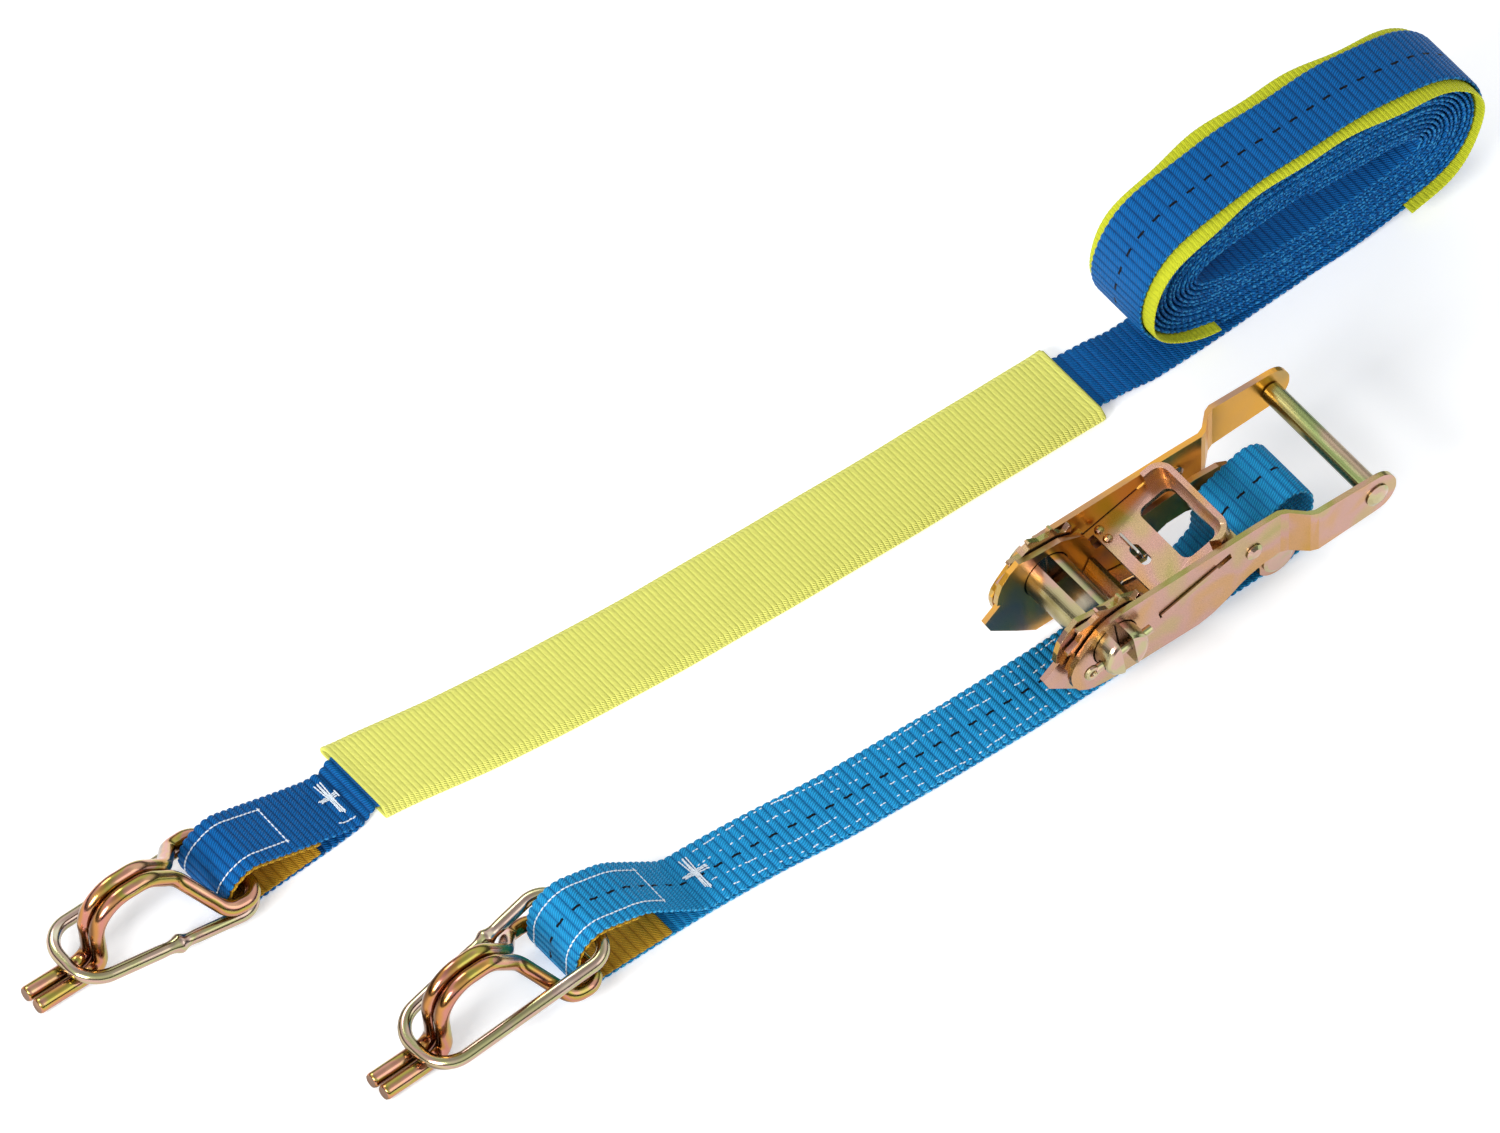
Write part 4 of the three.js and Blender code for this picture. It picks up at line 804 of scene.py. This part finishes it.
short_strap, short_band = woven_band("strap_short_webbing", short_ring, webbing_width, webbing_thickness, short_place,
                                     rib_pitch, 0.38, steps_per_rib, light_webbing, closed=True, dent=0.5)
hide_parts("strap_short")
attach(short_strap, "frame")

# Eye linings: golden woven tape sewn inside each eye, where the rods rub.
# Each is a strip that follows the inside of its eye and ends a little before the seam.
golden_tape = woven_polyester("woven_lining_tape_golden", "#D0A02C", "#8C6014", 3.4, 0.8)


def lining_line(corners, top_end, bottom_end):
    """The eye's corners shifted inwards by the lining's place, cut off at its two ends."""
    points = [c[0] for c in corners]
    ways = [(b - a).normalized() for a, b in zip(points, points[1:])]
    starts = [p + Vector((-w.z, 0, w.x)) * pad_inset for p, w in zip(points, ways)]
    shifted = [None]
    for i in range(1, len(points) - 1):
        one, two = ways[i - 1], ways[i]
        cross = one.x * two.z - one.z * two.x
        gap = starts[i] - starts[i - 1]
        distance = (gap.x * two.z - gap.z * two.x) / cross
        radius = corners[i][1] - math.copysign(pad_inset, cross)
        shifted.append((starts[i - 1] + one * distance, radius))
    a, b = shifted[1][0], shifted[2][0]
    top = a.lerp(b, (top_end - a.x) / (b.x - a.x))
    return rounded_path([(top, 0), shifted[2], shifted[3], flat(bottom_end, shifted[3][0].z)], arc_step)


long_lining_line = lining_line(long_eye_corners(flat(-160, top_layer), flat(-160, floor_layer)), -178, -178)
short_lining_line = lining_line([flat(-97, top_layer)] + short_eye + [flat(-97, floor_layer)], -124, -111)
for name, line, place, node in (("eye_lining_long", long_lining_line, long_place, "eye_pad_long"),
                                ("eye_lining_short", short_lining_line, short_place, "eye_pad_short")):
    lining, _ = woven_band(name, line, webbing_width, pad_thickness, place, 3.4, 0.1, 6, golden_tape)
    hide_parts(node)
    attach(lining, "frame")

# Sewing: white polyester thread. Each eye has a line across with two rows to its nose, and a cross-shaped tack
# where the two layers meet. Four rows run along the doubled short strap.
thread_size = 0.55


def on_band(band, place_along, across, lift):
    """A point on the strap's outer face, at a place along it and a distance from its middle line."""
    points, normal, along, place = band
    here = [np.interp(place_along, along, points[:, k]) for k in (0, 2)]
    out = [-np.interp(place_along, along, normal[:, k]) for k in (0, 2)]
    reach = webbing_thickness / 2 + lift
    return Vector((here[0] + out[0] * reach, place(here[0]) + across, here[1] + out[1] * reach)) * mm + layout_shift


def along_at(band, x, after=0):
    """The first place along the strap, after a given one, where it passes x."""
    points, _, along, _ = band
    for i in range(1, len(points)):
        if along[i] > after and (points[i - 1, 0] - x) * (points[i, 0] - x) <= 0:
            return along[i]
    return along[-1]


hand_wobble = 0.14


def sewn_line(band, ends, lift=0.05, step=0.7):
    """Straight or slanting row of sewing between (along, across) points."""
    line = []
    for (a, b), (c, d) in zip(ends, ends[1:]):
        count = max(2, round(math.hypot(c - a, d - b) / step))
        for i in range(count + 1):
            wobble = hand_wobble * math.sin(2.3 * i + a)
            line.append(on_band(band, a + (c - a) * i / count, b + (d - b) * i / count + wobble, lift))
    return line


def stitch_tree(name):
    """Rows of short threads set end to end along the given lines."""
    tree = bpy.data.node_groups.new(name, "GeometryNodeTree")
    tree.interface.new_socket("Rows", in_out="INPUT", socket_type="NodeSocketGeometry")
    spacing = tree.interface.new_socket("Spacing", in_out="INPUT", socket_type="NodeSocketFloat")
    length = tree.interface.new_socket("Thread length", in_out="INPUT", socket_type="NodeSocketFloat")
    size = tree.interface.new_socket("Thread size", in_out="INPUT", socket_type="NodeSocketFloat")
    kept_share = tree.interface.new_socket("Kept share", in_out="INPUT", socket_type="NodeSocketFloat")
    tree.interface.new_socket("Sewing", in_out="OUTPUT", socket_type="NodeSocketGeometry")
    given = add_node(tree, "NodeGroupInput")
    curves = add_node(tree, "GeometryNodeMeshToCurve", inputs={"Mesh": given.outputs["Rows"]})
    dots = add_node(tree, "GeometryNodeCurveToPoints", {"mode": "LENGTH"},
                    {"Curve": curves.outputs["Curve"], "Length": given.outputs["Spacing"]})
    turned = add_node(tree, "FunctionNodeAlignRotationToVector", {"axis": "Z"},
                      {"Vector": dots.outputs["Tangent"]})
    thread = add_node(tree, "GeometryNodeMeshUVSphere", inputs={"Segments": 8, "Rings": 5, "Radius": 0.5})
    stretch = add_node(tree, "ShaderNodeCombineXYZ",
                       inputs={"X": given.outputs["Thread size"], "Y": given.outputs["Thread size"],
                               "Z": given.outputs["Thread length"]})
    shaped = add_node(tree, "GeometryNodeTransform",
                      inputs={"Geometry": thread.outputs["Mesh"], "Scale": stretch.outputs["Vector"]})
    kept = add_node(tree, "FunctionNodeRandomValue", {"data_type": "BOOLEAN"},
                    {"Probability": given.outputs["Kept share"], "Seed": 3})
    laid = add_node(tree, "GeometryNodeInstanceOnPoints",
                    inputs={"Points": dots.outputs["Points"], "Instance": shaped.outputs["Geometry"],
                            "Selection": kept.outputs[3], "Rotation": turned.outputs["Rotation"]})
    real = add_node(tree, "GeometryNodeRealizeInstances", inputs={"Geometry": laid.outputs["Instances"]})
    dyed = add_node(tree, "GeometryNodeSetMaterial",
                    inputs={"Geometry": real.outputs["Geometry"], "Material": white_thread})
    add_node(tree, "NodeGroupOutput", inputs={"Sewing": dyed.outputs["Geometry"]})
    return tree, spacing.identifier, length.identifier, size.identifier, kept_share.identifier


white_thread, tree, shader = new_material("white_sewing_thread")
twist = add_node(tree, "ShaderNodeTexCoord")
plies = add_node(tree, "ShaderNodeTexNoise", inputs={"Vector": twist.outputs["Object"], "Scale": 1 / (0.8 * mm)})
shade = add_node(tree, "ShaderNodeMix", {"data_type": "RGBA"},
                 {"Factor": plies.outputs["Fac"], "A": linear("#B9CBDA"), "B": linear("#F4F6F8")})
tree.links.new(shade.outputs["Result"], shader.inputs["Base Color"])
shader.inputs["Roughness"].default_value = 0.6
shader.inputs["Sheen Weight"].default_value = 0.2
sewing_tree, spacing_input, length_input, size_input, kept_input = stitch_tree("sewing_rows")


def sew(name, rows, spacing, length, kept_share=1.0):
    mesh = bpy.data.meshes.new(name + "_rows")
    points, edges = [], []
    for row in rows:
        first = len(points)
        points += [tuple(p) for p in row]
        edges += [(first + i, first + i + 1) for i in range(len(row) - 1)]
    mesh.from_pydata(points, edges, [])
    guide = bpy.data.objects.new(name + "_rows", mesh)
    bpy.context.scene.collection.objects.link(guide)
    modifier = guide.modifiers.new("sewing", "NODES")
    modifier.node_group = sewing_tree
    modifier[spacing_input] = spacing * mm
    modifier[length_input] = length * mm
    modifier[size_input] = thread_size * mm
    modifier[kept_input] = kept_share
    graph = bpy.context.evaluated_depsgraph_get()
    made = bpy.data.meshes.new_from_object(guide.evaluated_get(graph))
    bpy.data.objects.remove(guide)
    piece = bpy.data.objects.new(name, made)
    bpy.context.scene.collection.objects.link(piece)
    made.polygons.foreach_set("use_smooth", [True] * len(made.polygons))
    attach(piece, "frame")
    return piece


def cross_tack(band, middle, across, half_across, half_along):
    """Rows sewn over each other, across and then along the strap."""
    rows = []
    for k, slant in ((-0.85, 0.5), (-0.4, -0.35), (0, 0.2), (0.45, 0.4), (0.8, -0.6)):
        rows.append(sewn_line(
            band, [(middle + k + slant, across - half_across + k), (middle + k - slant, across + half_across)], 0.15))
        if abs(k) < 0.6:
            rows.append(sewn_line(
                band, [(middle - half_along, across + k + slant), (middle + half_along + k, across + k)], 0.25))
    return rows


eye_row = 8.2
long_cross = along_at(long_band, -188)
long_nose = along_at(long_band, long_eye_x + floor_layer + 0.3) + 9
eye_rows = [
    sewn_line(long_band, [(long_nose, eye_row), (long_cross, eye_row - 0.6)]),
    sewn_line(long_band, [(long_cross, eye_row - 0.6), (long_cross + 0.5, -eye_row + 0.4)]),
    sewn_line(long_band, [(long_cross + 0.5, -eye_row + 0.4), (long_nose, -eye_row)]),
]
sew("sewing_long_eye", eye_rows, 1.9, 1.85)
tack_rows = cross_tack(long_band, along_at(long_band, -162.6), 1.5, 6.2, 4.2)
tack_rows.append(sewn_line(long_band, [(along_at(long_band, -167), -8.8), (along_at(long_band, -161), -9.4)]))
sew("sewing_long_tack", tack_rows, 1.2, 1.5)

short_cross = along_at(short_band, -111)
short_nose_place = along_at(short_band, short_nose + 0.3) + 12
short_rows = [
    sewn_line(short_band, [(short_nose_place, eye_row), (short_cross, eye_row - 0.6)]),
    sewn_line(short_band, [(short_cross, eye_row - 0.6), (short_cross + 0.5, -eye_row + 0.4)]),
    sewn_line(short_band, [(short_cross + 0.5, -eye_row + 0.4), (short_nose_place, -eye_row)]),
]
sew("sewing_short_eye", short_rows, 1.9, 1.85)
short_tack_rows = cross_tack(short_band, along_at(short_band, -91), 1.5, 6.2, 4.2)
sew("sewing_short_tack", short_tack_rows, 1.2, 1.5)
doubled_start = along_at(short_band, 99)
doubled_end = along_at(short_band, -88)
length_share = (doubled_end - doubled_start) / 6
doubled_rows = []
for side, inner in ((1, 4.2), (-1, -4.2), (1, 9.4), (-1, -9.4)):
    zigzag = [(doubled_start + length_share * k, inner + side * (1.6 if k % 2 else -0.6)) for k in range(7)]
    doubled_rows.append(sewn_line(short_band, zigzag, -0.16))
sew("sewing_doubled_strap", doubled_rows, 1.15, 1.25, 0.42)
